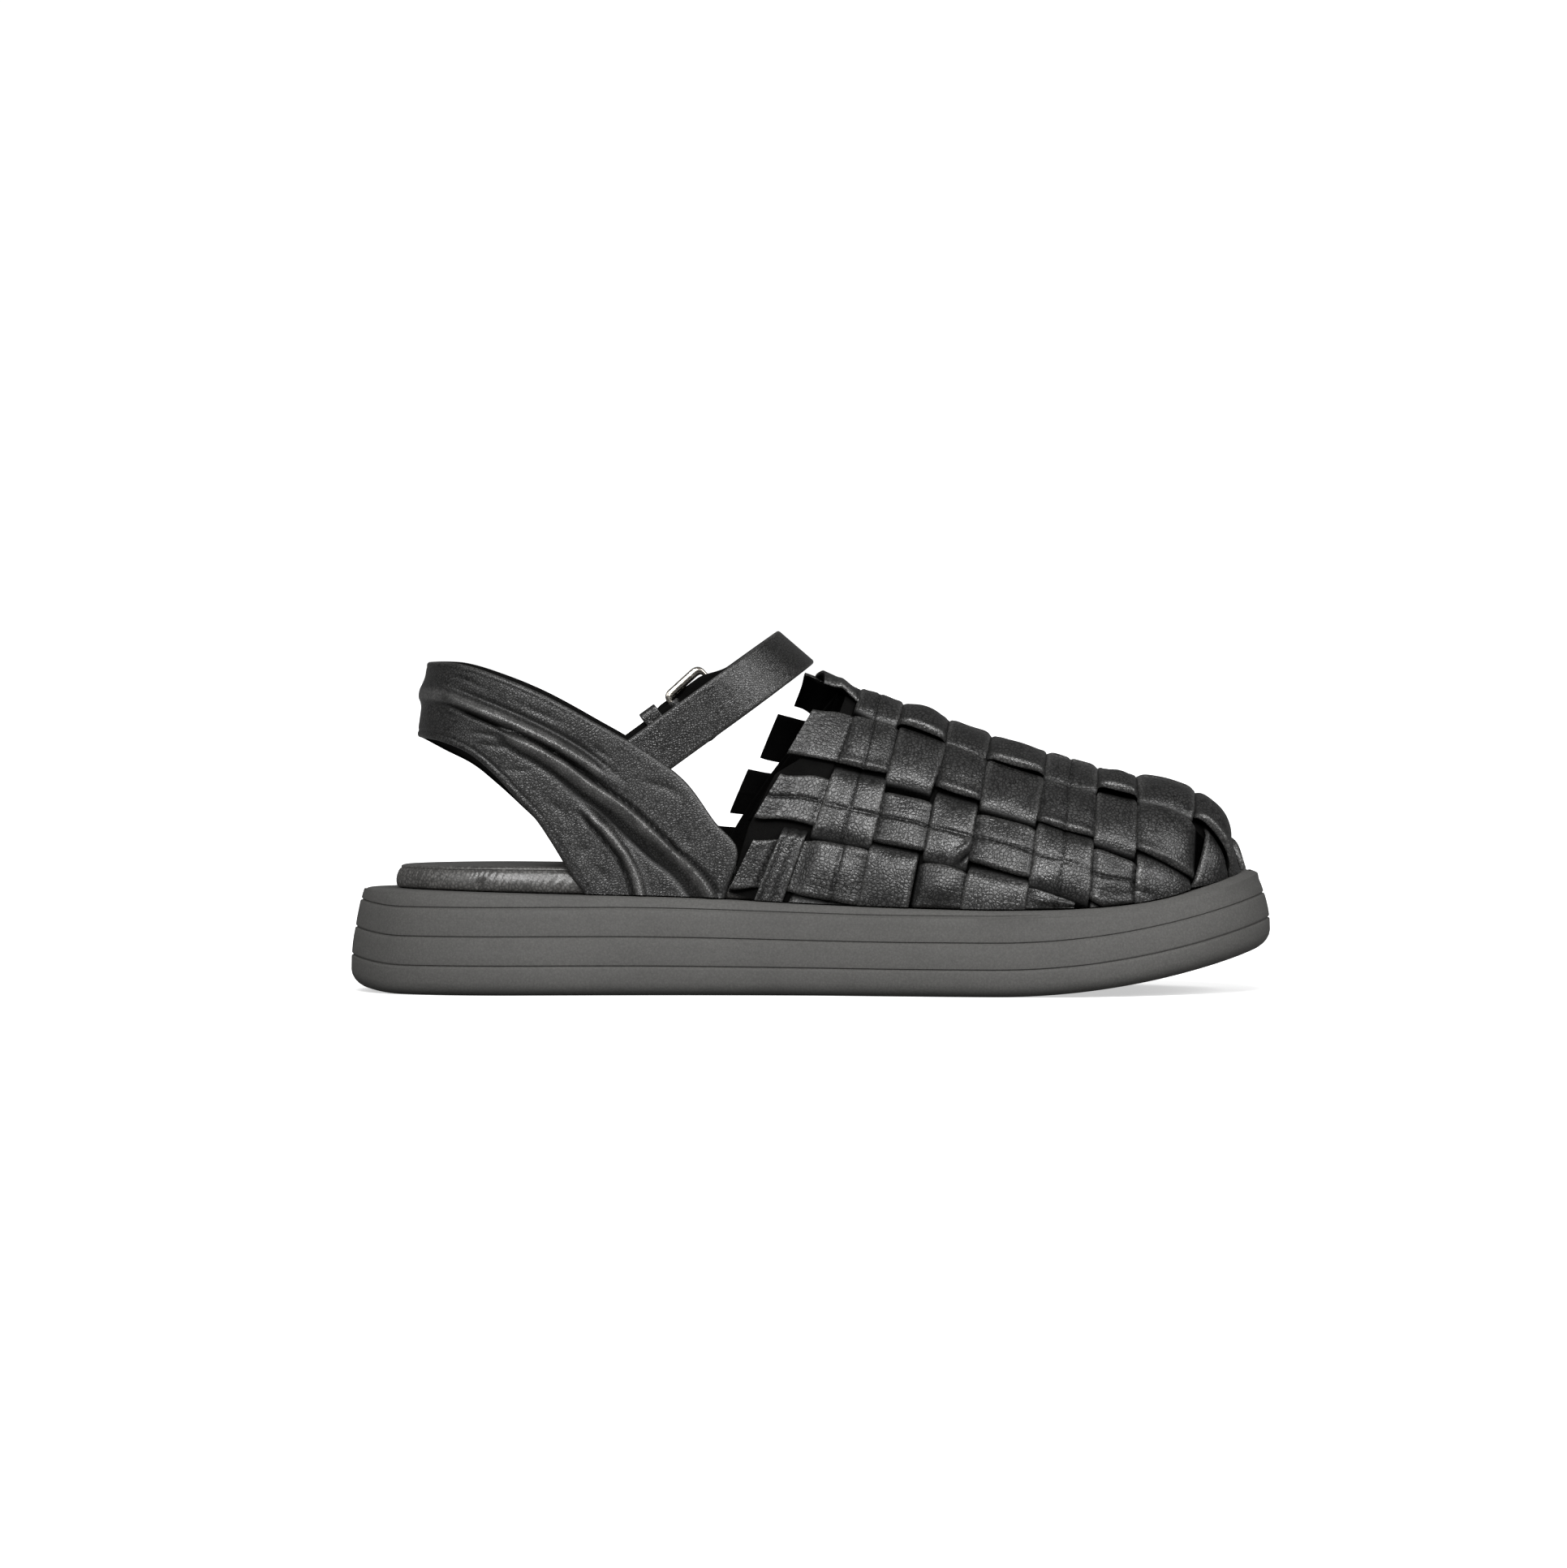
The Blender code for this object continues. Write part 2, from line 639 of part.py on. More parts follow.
def build_vamp(collection):
    """The closed-toe woven upper: one wall over the last, its strips raised, open between tabs and strips."""
    columns, sections = vamp_lines()
    lines_per_strip = 5
    gap_starts = [high for low, high in CROSS_EDGES]

    def girth_at(i, k):
        strip, offset = columns[i]
        return strip_middle(strip, sections[k]) + offset

    def keep(i, k):
        between_long_strips = i % lines_per_strip == 0
        if not between_long_strips:
            return True
        if sections[k] < COLLAR_EDGES[0]:
            return False
        if sections[k] not in gap_starts:
            return True
        side = MEDIAL if girth_at(i, k) + girth_at(i + 1, k) < 0 else LATERAL
        for row in (k, k + 1):
            reach = max(abs(girth_at(i, row)), abs(girth_at(i + 1, row)))
            if reach > cached_half(sections[row], side)[1][-1] - HOLE_MARGIN:
                return True
        return False

    def place(i, k):
        if sections[k] == TOE_SECTION:
            return vamp_base(TOE_SECTION, LATERAL)
        return last_point(sections[k], held_girth(sections[k], girth_at(i, k)))

    def weight(i, k):
        height = weave_height(sections[k], held_girth(sections[k], girth_at(i, k)))
        return (VAMP_WALL + height) / (VAMP_WALL + STRIP_RELIEF)

    mesh = grid_mesh("vamp", len(columns) - 1, len(sections) - 1, place, keep, weight, flip=True)
    vamp = add_part("vamp", mesh, collection, LEATHER)
    thicken(vamp, VAMP_WALL + STRIP_RELIEF, "weave")
    return vamp


BAND_NUMBERS = list(range(-BAND_END, BAND_END + 1))


def band_curve(name):
    values = column(BAND_LINES, name)
    return curve_through(BAND_NUMBERS, values[:0:-1] + values)


band_curves = {name: band_curve(name) for name in BandRow._fields}


def band_half(x, z):
    """Half the breadth inside the band, which narrows upward and closes in an ellipse at the back."""
    back, top = BAND_LINES[0].low_x, BAND_LINES[0].top_x
    share = (z - BAND_LINES[0].low_z) / (BAND_LINES[0].top_z - BAND_LINES[0].low_z)
    reach = BAND_TURN - (back + (top - back) * share)
    depth = min(max(BAND_TURN - x, 0.0) / reach, 1.0)
    lean = 1 - BAND_LEAN * (z - sole_top(x)) / BAND_HEIGHT
    return (insole_half(max(x, BAND_TURN)) + GAP) * lean * math.sqrt(1 - depth * depth)


def band_point(line, across):
    """Inner face of the band, at a line counted from the back seam and a share across from the lower edge."""
    curves = band_curves
    lateral = 1.0 if line > 0 else 0.0
    low = Vector((curves["low_x"](line), 0.0, curves["low_z"](line) - lateral * curves["drop"](line)))
    top = Vector((curves["top_x"](line) - lateral * curves["set_back"](line), 0.0, curves["top_z"](line)))
    point = low.lerp(top, across)
    if abs(line) == BAND_END:
        point.z = sole_top(point.x) + GAP
    side = LATERAL if line > 0 else MEDIAL
    point.y = insole_centre(max(point.x, BAND_TURN)) + side * band_half(point.x, point.z)
    return point


def fold_height(line, across):
    """Height of the gathered folds above the band's wall."""
    width = (band_point(line, 1.0) - band_point(line, 0.0)).length
    height = 0.0
    for fold in BAND_FOLDS:
        last = fold.first + len(fold.across) - 1
        numbers = list(range(fold.first, last + 1))
        where = abs(line)
        middle = curve_through(numbers, fold.across)(where)
        fade = 1.0
        if fold.first > 0:
            fade *= ramp(fold.first - FOLD_FADE, fold.first + FOLD_FADE, where)
        if last < BAND_END:
            fade *= ramp(last + FOLD_FADE, last - FOLD_FADE, where)
        away = (across - middle) * width / fold.half
        height = max(height, fold.height * fade * math.exp(-away * away))
    return height


def build_heel_band(collection):
    """The slingback: one wall round the heel from base to base, with its folds raised."""

    def at(i, k):
        return BAND_END * (2 * i / BAND_COLUMNS - 1), k / BAND_ROWS

    def place(i, k):
        return band_point(*at(i, k))

    def weight(i, k):
        return (BAND_WALL + fold_height(*at(i, k))) / (BAND_WALL + FOLD_RELIEF)

    mesh = grid_mesh("heel_band", BAND_COLUMNS, BAND_ROWS, place, None, weight, flip=True)
    band = add_part("heel_band", mesh, collection, LEATHER)
    thicken(band, BAND_WALL + FOLD_RELIEF, "folds")
    return band


RISE = Vector((math.cos(math.radians(STRAP_RISE)), 0.0, math.sin(math.radians(STRAP_RISE))))
OUTWARD = Vector((0.0, 1.0, 0.0))
ACROSS = RISE.cross(OUTWARD)
STRAP_CENTRE = insole_centre(STRAP_FOOT[0])
STRAP_LEG = band_half(*STRAP_FOOT) - GAP - STRAP_THICKNESS


def strap_frame():
    """Local axes of the outer leg: x up the strap, y outward from its inner face, z across it."""
    frame = Matrix((RISE, OUTWARD, ACROSS)).transposed().to_4x4()
    foot = Vector((STRAP_FOOT[0], STRAP_CENTRE + STRAP_LEG, STRAP_FOOT[1]))
    frame.translation = (foot + ACROSS * OUTER_LIFT) * MM
    return frame @ Matrix.Rotation(OUTER_SPLAY, 4, "Z") @ Matrix.Rotation(OUTER_TILT, 4, "Y")


def hump(along):
    """How far the strap's end stands off the outer leg, over the buckle's bar and then over the tab."""
    over_bar = OVER_BAR * ramp(*HUMP_FRONT, along)
    return over_bar + (OVER_TAB - OVER_BAR) * ramp(*HUMP_BACK, along)


def strap_route():
    """Along, sideways and twist of the strap's inner face, from the inner end over the instep to the tip."""
    route = []
    for step in range(LEG_STEPS):
        along = -STRAP_TUCK + (LOOP_START + STRAP_TUCK) * step / LEG_STEPS
        route.append((along, -STRAP_LEG - TUCK_SPLAY * max(-along, 0.0), 0.0))
    for step in range(LOOP_STEPS + 1):
        turn = math.pi * (step / LOOP_STEPS - 0.5)
        along = LOOP_START + LOOP_HEIGHT * math.cos(turn)
        sideways = STRAP_LEG * math.sin(turn)
        if sideways > 0:
            sideways += hump(along) + OUTER_SPLAY * LOOP_START * math.sin(turn)
        route.append((along, sideways, math.cos(turn)))
    for step in range(1, TIP_STEPS + 1):
        along = LOOP_START + (STRAP_TIP - LOOP_START) * step / TIP_STEPS
        route.append((along, STRAP_LEG + hump(along) + OUTER_SPLAY * along, 0.0))
    return route


def build_ankle_strap(collection, cutters):
    """The strap from inside the band over the instep to its free end, slotted for the prong."""
    route = strap_route()

    def place(i, k):
        along, sideways, twist = route[k]
        turn = Matrix.Rotation(math.radians(-STRAP_TWIST * twist), 3, "Y")
        offset = (i / STRAP_COLUMNS - 0.5) * STRAP_WIDTH
        if sideways > 0:
            offset += max(OUTER_LIFT - OUTER_TILT * along, 0.0)
        foot = Vector((STRAP_FOOT[0], STRAP_CENTRE + sideways, STRAP_FOOT[1]))
        return foot + RISE * along + (turn @ ACROSS) * offset

    mesh = grid_mesh("ankle_strap", STRAP_COLUMNS, len(route) - 1, place, flip=True)
    strap = add_part("ankle_strap", mesh, collection, LEATHER)
    thicken(strap, STRAP_THICKNESS)
    slot = prong_slot(cutters)
    cut = strap.modifiers.new("prong slot", "BOOLEAN")
    cut.operation = "DIFFERENCE"
    cut.object = slot
    return strap


def prong_slot(cutters):
    """Cutter for the long hole that the prong passes through."""
    bm = bmesh.new()
    stretch = Matrix.Diagonal((SLOT_HALF_LENGTH, SLOT_HALF_WIDTH, 1.0, 1.0))
    bmesh.ops.create_cone(
        bm, cap_ends=True, segments=SLOT_SIDES, radius1=MM, radius2=MM, depth=SLOT_DEPTH * MM, matrix=stretch
    )
    mesh = bpy.data.meshes.new("prong_slot")
    bm.to_mesh(mesh)
    bm.free()
    slot = bpy.data.objects.new("prong_slot", mesh)
    slot.matrix_world = (
        strap_frame()
        @ Matrix.Translation((SLOT_CENTRE * MM, hump(SLOT_CENTRE) * MM, 0.0))
        @ Matrix.Rotation(math.radians(90), 4, "X")
    )
    slot.hide_render = True
    slot.display_type = "WIRE"
    cutters.objects.link(slot)
    return slot


def poly_spline(curve, points, cyclic=True):
    spline = curve.splines.new("POLY")
    spline.points.add(len(points) - 1)
    for target, point in zip(spline.points, points):
        target.co = (*(value * MM for value in point), 1.0)
    spline.use_cyclic_u = cyclic


def flat_curve(name, outlines, thickness):
    """A flat outline, with any holes as further outlines, of the given thickness."""
    curve = bpy.data.curves.new(name, "CURVE")
    curve.dimensions = "2D"
    curve.fill_mode = "BOTH"
    curve.extrude = thickness / 2 * MM
    for outline in outlines:
        poly_spline(curve, [(x, y, 0.0) for x, y in outline])
    return curve


def wire_curve(name, points, radius, cyclic):
    curve = bpy.data.curves.new(name, "CURVE")
    curve.dimensions = "3D"
    curve.bevel_depth = radius * MM
    curve.bevel_resolution = 2
    curve.use_fill_caps = True
    poly_spline(curve, points, cyclic)
    return curve


def arc(centre, radius, start, end, steps):
    points = []
    for step in range(steps + 1):
        angle = math.radians(start + (end - start) * step / steps)
        points.append((centre[0] + radius * math.cos(angle), centre[1] + radius * math.sin(angle)))
    return points


def build_buckle_tab(collection):
    """The short strap sewn inside the band, its end curled round the buckle's back bar."""
    under = math.degrees(math.asin(-BAR_BACK[1] / CURL_OUTER))
    over = math.degrees(math.asin((TAB_THICKNESS - BAR_BACK[1]) / CURL_OUTER))
    curl = arc(BAR_BACK, CURL_OUTER, -180 - under, 180 - over, CURL_STEPS)
    outline = [(-TAB_TUCK, 0.0), *curl, (-TAB_TUCK, TAB_THICKNESS)]
    hole = arc(BAR_BACK, CURL_HOLE, 0, 360, HOLE_STEPS)[1:]
    curve = flat_curve("buckle_tab", (outline, hole), TAB_WIDTH)
    tab = add_part("buckle_tab", curve, collection, LEATHER)
    tab.matrix_world = strap_frame()
    return tab


def build_buckle_frame(collection):
    """A rounded rectangle of wire: the back bar in the tab's curl, the front bar over the strap."""
    middle = (BAR_BACK[0] + BAR_FRONT[0]) / 2
    half = (BAR_FRONT[0] - BAR_BACK[0]) / 2
    slope = (BAR_FRONT[1] - BAR_BACK[1]) / (BAR_FRONT[0] - BAR_BACK[0])
    points = []
    for quarter, (along, across) in enumerate(((1, 1), (-1, 1), (-1, -1), (1, -1))):
        corner = (along * (half - BUCKLE_CORNER), across * (BUCKLE_HALF - BUCKLE_CORNER))
        points += arc(corner, BUCKLE_CORNER, 90 * quarter, 90 * quarter + 90, CORNER_STEPS)
    ring = [(middle + a, BAR_BACK[1] + slope * (a + half), w) for a, w in points]
    frame = add_part("buckle_frame", wire_curve("buckle_frame", ring, BUCKLE_WIRE, True), collection, STEEL)
    frame.matrix_world = strap_frame()
    return frame


def build_buckle_prong(collection):
    ends = [(along, depth, 0.0) for along, depth in PRONG_ENDS]
    curve = wire_curve("buckle_prong", ends, PRONG_RADIUS, False)
    prong = add_part("buckle_prong", curve, collection, STEEL)
    prong.matrix_world = strap_frame()
    return prong


def build_strap_keeper(collection):
    """The leather loop that holds the strap's end on the tab."""
    low, high = -GAP, OVER_TAB + STRAP_THICKNESS + GAP
    side = STRAP_WIDTH / 2 + GAP

    def loop(grow):
        reach = side + grow
        return [(low - grow, -reach), (high + grow, -reach), (high + grow, reach), (low - grow, reach)]

    curve = flat_curve("strap_keeper", (loop(KEEPER_WALL), loop(0.0)), KEEPER_WIDTH)
    keeper = add_part("strap_keeper", curve, collection, LEATHER)
    upright = Matrix(((0, 0, 1), (1, 0, 0), (0, 1, 0))).to_4x4()
    keeper.matrix_world = strap_frame() @ Matrix.Translation((KEEPER_CENTRE * MM, 0.0, 0.0)) @ upright
    return keeper


def main():
    for leftover in list(bpy.data.objects):
        bpy.data.objects.remove(leftover, do_unlink=True)
    sandal = bpy.data.collections.new("woven_sandal")
    cutters = bpy.data.collections.new("cutters")
    bpy.context.scene.collection.children.link(sandal)
    bpy.context.scene.collection.children.link(cutters)
    build_sole(sandal)
    build_insole(sandal)
    build_vamp(sandal)
    build_heel_band(sandal)
    build_ankle_strap(sandal, cutters)
    build_buckle_tab(sandal)
    build_buckle_frame(sandal)
    build_buckle_prong(sandal)
    build_strap_keeper(sandal)


main()
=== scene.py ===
"""Looks of a woven slingback sandal for a left foot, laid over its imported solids.

Shapes are worked out in millimetres and scaled to metres as each mesh is laid. +X runs from heel to toe, +Y to
the outer side of the foot and +Z up, with the origin on the ground under the middle of the sole.
"""

import math
from collections import namedtuple

import bpy
import numpy as np
from bpy.props import FloatProperty, FloatVectorProperty, PointerProperty
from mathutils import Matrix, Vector


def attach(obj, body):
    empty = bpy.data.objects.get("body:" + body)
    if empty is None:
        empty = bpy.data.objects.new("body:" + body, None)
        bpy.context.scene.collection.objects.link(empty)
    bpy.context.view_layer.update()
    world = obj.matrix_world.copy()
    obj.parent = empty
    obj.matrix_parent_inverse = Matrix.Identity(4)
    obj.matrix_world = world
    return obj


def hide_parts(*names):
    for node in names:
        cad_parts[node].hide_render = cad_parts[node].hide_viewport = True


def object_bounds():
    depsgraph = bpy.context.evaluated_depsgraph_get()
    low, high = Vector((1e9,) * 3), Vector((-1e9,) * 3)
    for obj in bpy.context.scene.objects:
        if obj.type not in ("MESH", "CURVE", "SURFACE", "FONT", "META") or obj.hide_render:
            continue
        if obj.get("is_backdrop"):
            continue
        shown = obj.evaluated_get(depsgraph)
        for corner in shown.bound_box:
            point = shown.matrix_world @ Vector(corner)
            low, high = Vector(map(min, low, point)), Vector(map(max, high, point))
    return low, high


bl_info = {
    "name": "Woven slingback sandal",
    "version": (1, 0, 0),
    "blender": (4, 5, 0),
    "location": "3D View > Sidebar > Sandal",
    "description": "Builds the leather, rubber and metal of a woven slingback sandal over its packed solids",
    "category": "Mesh",
}

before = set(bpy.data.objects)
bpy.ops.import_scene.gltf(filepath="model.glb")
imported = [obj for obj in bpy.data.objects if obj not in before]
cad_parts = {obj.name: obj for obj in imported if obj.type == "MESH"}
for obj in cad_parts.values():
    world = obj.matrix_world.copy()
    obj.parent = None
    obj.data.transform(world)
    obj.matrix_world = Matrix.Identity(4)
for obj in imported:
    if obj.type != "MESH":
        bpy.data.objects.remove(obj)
CAD_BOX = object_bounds()

MM = 0.001
GAP = 0.3
MERGE = 0.004
TINY = 1e-9
SMOOTH_BELOW = 48.0
UV_UNIT = 10.0
UV_STEP = 0.1
MEDIAL, LATERAL = -1, 1

# Sole and insole
SOLE_LENGTH = 268.0
HEEL_FLARE = 4.4
TOE_FLARE = 6.4
HEEL_LEDGE = 8.6
TOE_LEDGE = 4.6
SIDE_LEDGE = 5.5
LEDGE_STARTS = (-60.0, 80.0)
HEEL_BEVEL_START = -118.0
HEEL_BEVEL = 0.0100
TOE_SPRING_START = 52.0
TOE_SPRING = 0.00213
LAYER_AT_HEEL = 8.4
LAYER_AT_BALL = 7.7
LAYER_CHANGE = (-60.0, 30.0)
LEAST_LAYER = 1.6
TOP_LINE = 4
WEDGE_LINE = 3
WEDGE_ENDS = (58.0, 82.0)
FLARE_CURVE = 1.5
SEAT_OFFSET = 2.0
CAP_INSET = 16.0
SOLE_STATIONS = 130
INSOLE_STATIONS = 5 * SOLE_STATIONS

INSOLE_HEEL = HEEL_FLARE + HEEL_LEDGE - SOLE_LENGTH / 2
INSOLE_TOE = SOLE_LENGTH / 2 - TOE_FLARE - TOE_LEDGE
INSOLE_LENGTH = INSOLE_TOE - INSOLE_HEEL
HEEL_ROUND = 0.14
TOE_ROUND = 0.26
HEEL_FULLNESS = 2.0
TOE_FULLNESS = 2.2

PlanRow = namedtuple("PlanRow", "along centre half")
INSOLE_PLAN = tuple(PlanRow(*row) for row in (
    (0.00, 0.3, 27.5), (0.10, 0.3, 28.6), (0.20, 0.9, 29.2), (0.35, 2.7, 29.8), (0.50, 3.5, 33.0),
    (0.62, 2.5, 38.6), (0.70, 0.9, 41.0), (0.78, -1.1, 41.2), (0.86, -2.9, 39.6), (0.94, -4.3, 37.0),
    (1.00, -5.1, 35.0),
))

HeightRow = namedtuple("HeightRow", "x z")
SOLE_TOP = tuple(HeightRow(*row) for row in (
    (-134.0, 30.3), (-112.0, 30.0), (-73.0, 29.0), (-35.0, 28.0), (0.0, 26.2), (25.0, 25.3), (55.0, 24.8),
    (83.0, 25.6), (102.0, 28.0), (119.0, 32.9), (130.0, 36.6),
))
INSOLE_TOP = tuple(HeightRow(*row) for row in (
    (-121.0, 37.1), (-73.0, 36.9), (-35.0, 35.8), (0.0, 34.4), (30.0, 33.0), (60.0, 32.6), (90.0, 33.6),
    (110.0, 37.0), (123.0, 40.4),
))

# Woven vamp: a row for each cross strip, from the tab ends through the collar strip to the toe tip
VAMP_CLEARANCE = 0.6
VAMP_RELIEF = 3.0
CREST_SHARE = 0.45
LATERAL_SWEEP = 1.35

SectionRow = namedtuple("SectionRow", "crest_x crest_z medial_x lateral_x crown wall")
VAMP_SECTIONS = tuple(SectionRow(*row) for row in (
    (1.0, 90.2, -23.4, -35.0, 0.64, 0.48),
    (10.6, 86.8, -13.0, -23.5, 0.62, 0.48),
    (20.0, 83.2, 6.0, -0.5, 0.57, 0.48),
    (33.0, 79.0, 22.5, 18.5, 0.52, 0.48),
    (46.0, 73.9, 37.0, 34.0, 0.49, 0.48),
    (60.6, 69.4, 52.6, 50.5, 0.48, 0.48),
    (75.0, 64.6, 70.2, 69.0, 0.48, 0.50),
    (90.4, 60.7, 88.0, 87.5, 0.50, 0.52),
    (105.0, 58.2, 103.2, 103.0, 0.52, 0.54),
    (116.8, 51.4, 114.8, 114.6, 0.54, 0.55),
    (123.6, 35.6, 123.6, 123.6, 0.54, 0.55),
))
FIRST_SECTION = -1
TOE_SECTION = FIRST_SECTION + len(VAMP_SECTIONS) - 1
SECTION_STEP = 0.02
GIRTH_STEPS = 96

# The weave: long strip k lies over cross strip n where k + n is odd, and strips 0 to 3 are on the inner side
LONG_STRIPS = 8
LONG_PITCH = 18.4
LONG_WIDTHS = (15.4, 14.3, 15.8, 15.6, 15.6, 15.8, 14.6, 15.4)
CROSS_STRIPS = 8
CROSS_EDGES = (
    (0.41, 1.47), (1.53, 2.47), (2.56, 3.38), (3.47, 4.50),
    (4.56, 5.50), (5.56, 6.25), (6.32, 7.42), (7.50, 8.42),
)
CROSS_SPREAD = 0.028
SECTION_LENGTH = 13.6

# How far the middle of each long strip lies from even spacing, in a row for each strip, at sections -1 to 8
STRIP_SHIFTS = (
    (-2.6, 0.4, 1.9, 1.7, 1.4, 1.0, 0.5, 0.0, 0.0, 0.0),
    (0.0, 2.0, 2.0, 1.8, 1.4, 0.8, 0.0, -1.0, -0.8, 0.0),
    (2.3, 4.1, 5.0, 4.4, 3.3, 1.4, -0.4, -0.2, 0.6, 0.8),
    (8.8, 9.6, 4.0, 2.4, 0.8, -1.0, -0.6, 0.0, 0.4, 0.6),
    (4.6, 6.0, 4.0, 2.6, 1.4, 0.4, 0.0, 0.0, 0.0, 0.0),
    (6.3, 5.2, 3.7, 2.2, 1.0, 0.4, 0.0, 0.0, 0.0, 0.0),
    (7.5, 5.8, 3.8, 2.2, 1.0, 0.4, 0.0, 0.0, 0.0, 0.0),
    (8.7, 6.4, 3.9, 2.2, 1.0, 0.4, 0.0, 0.0, 0.0, 0.0),
)

WEAVE_MIDDLE = 1.42
WEAVE_SWING = 0.95
WEAVE_SNAP = 3.2
UNDER_SHADE = (0.74, 0.2)
STATION_STEP = 0.03
TOE_STOP = 0.012
SEWN_STATIONS = (-0.06, -0.04, -0.025, -0.01, 0.01, 0.025, 0.04, 0.06)
RUN_STEP = 0.62
SEWN_RUNS = (-0.8, -0.5, -0.3, -0.1, 0.1, 0.3, 0.5, 0.8)
LEAST_WIDTH = 1.6
LONG_TILT, CROSS_TILT = 0.12, 0.15
LONG_SWELL, CROSS_SWELL = 0.05, 0.03
CELL_REACH = 0.42
# Share of a strip's half width past which its edges are painted paler, partly wear and partly a painted highlight
RUBBED_AND_HIGHLIT_EDGE = (0.72, 0.95)
EDGE_ANGLES = (0, 28, 58, 90)
PLAIN_TOP = (0.82, 0.7, 0.55, 0.37, 0.19, 0.0)
SEWN_TOP = (0.8, 0.64, 0.46, 0.28, 0.14, 0.07, 0.035, 0.0)
EDGE_SHARE = 0.12
EDGE_DROOP = 0.5
ROLL_PLACE = 0.85
ROLL_HALF = 0.13
CROSS_ROLL = 0.22

# Sections of each tab's two corners at the collar, and each long strip's rolled edges, crease and flared side
TabRow = namedtuple("TabRow", "low high")
TAB_ENDS = (
    TabRow(-1.10, -0.96), TabRow(-1.19, -0.92), TabRow(-0.97, -0.73), TabRow(-0.70, -0.95),
    TabRow(-1.28, -0.94), TabRow(-1.19, -0.88), TabRow(-0.99, -0.78), TabRow(-1.05, -0.95),
)
RollRow = namedtuple("RollRow", "low high crease flare")
EDGE_ROLLS = (
    RollRow(0.40, 0.30, 0.0, 0.0), RollRow(0.60, 0.30, 0.1, 0.2), RollRow(0.70, 0.30, 0.3, 0.5),
    RollRow(0.90, 0.40, 0.6, 1.4), RollRow(0.90, 0.90, 0.5, 1.0), RollRow(0.30, 0.75, 0.3, 0.5),
    RollRow(0.30, 0.55, 0.1, 0.2), RollRow(0.30, 0.40, 0.0, 0.0),
)
CREASE_PLACE, CREASE_HALF = 0.62, 0.055
CREST_STRIP = 3
CREST_TAB_LIFT = 1.3
TOE_DROP = 1.7
TOE_DROP_ENDS = (TOE_SECTION - 0.9, TOE_SECTION - 0.05)
UNDER_TOE = 0.6
UNDER_TOE_ENDS, OVER_TOE_ENDS = (8.3, 8.46), (8.46, 8.66)
TOE_SPREAD = 0.42
TOE_SPREAD_ENDS = (8.2, 8.8)
TAB_START = (0.45, 0.3)
TAB_BLEND = (-0.28, -0.5)
TAB_FLAT = 0.6
TAB_CURL = 0.5
CURL_BLEND = (-0.4, -1.2)
CREST_TAB_BLEND = (0.2, -0.4)
COLLAR_BLEND = (0.62, 0.3)
OUTERMOST = (0, 7)
COLLAR_MIDDLE = 0.025
COLLAR_HALF = 0.275
COLLAR_THICKNESS = 1.0
COLLAR_UNDER = -0.7
COLLAR_OVER = 2.45
OVER_COLLAR = 1.85
UNDER_COLLAR = 0.75
TAB_LEVEL = OVER_COLLAR - 0.2
COLLAR_STATIONS = 240
COLLAR_SEAM_HALF = 0.16
COLLAR_CROSSING = (0.62, 0.4)
SEWN_LONG = (1, 6)
SEWN_CROSS = (1, 5)
# Sewn lines: half width and depth of their grooves, which the leather also paints darker as painted shade, and the
# share of both on the underside
SEAM_HALF = 0.55
SEAM_DEPTH = 0.45
SEAM_UNDER = 0.3
STITCH_ROW = 0.39
ROW_SHARE = 0.7
STITCH_ROW_UNDER = 0.32
STITCH_LENGTH = 1.5
COLLAR_ROWS = 0.45
STITCH_RADIUS = 0.26
STITCH_RISE = 0.35
STITCH_SHADE, COLLAR_STITCH_SHADE = 0.25, 0.3

# Heel band: a row for each line across it, from the back seam to the base in front of the waist
BAND_WALL = 2.0
BAND_LEAN = 0.10
BAND_HEIGHT = 68.0
BAND_TURN = -78.0
BAND_STATIONS = 260
BAND_EDGE = (0.0, 0.004, 0.013, 0.027, 0.045)
BAND_COLUMNS = (0.06, 0.94, 84)
# How much paler the band's fold crests are painted, partly wear and partly a painted highlight
BAND_WEAR_AND_HIGHLIGHT = 1.8

Hem = namedtuple("Hem", "depth place")
HEM_TOP, HEM_LOW = Hem(0.1, 1.7), Hem(0.2, 2.0)
# Half width of a hem's groove, and the depth at which its painted shadow is darkest
HEM_HALF, HEM_DARK = 0.5, 0.25

BandRow = namedtuple("BandRow", "low_x low_z top_x top_z set_back drop")
BAND_LINES = tuple(BandRow(*row) for row in (
    (-112.8, 73.8, -109.8, 95.8, 0.0, 0.0),
    (-106.8, 73.0, -100.5, 95.4, 0.0, 3.0),
    (-98.6, 69.6, -89.4, 91.9, 0.0, 4.2),
    (-91.3, 63.6, -76.6, 86.4, 0.0, 4.4),
    (-84.9, 56.5, -62.4, 78.7, 0.2, 3.4),
    (-79.7, 50.9, -49.3, 71.3, 1.0, 3.0),
    (-75.4, 44.6, -36.6, 62.0, 4.0, 2.4),
    (-71.6, 38.4, -27.8, 50.2, 8.0, 1.2),
    (-68.8, 33.9, -21.0, 41.4, 11.0, 0.0),
    (-65.5, 29.6, -24.8, 27.6, 12.0, 0.0),
))
BAND_END = len(BAND_LINES) - 1

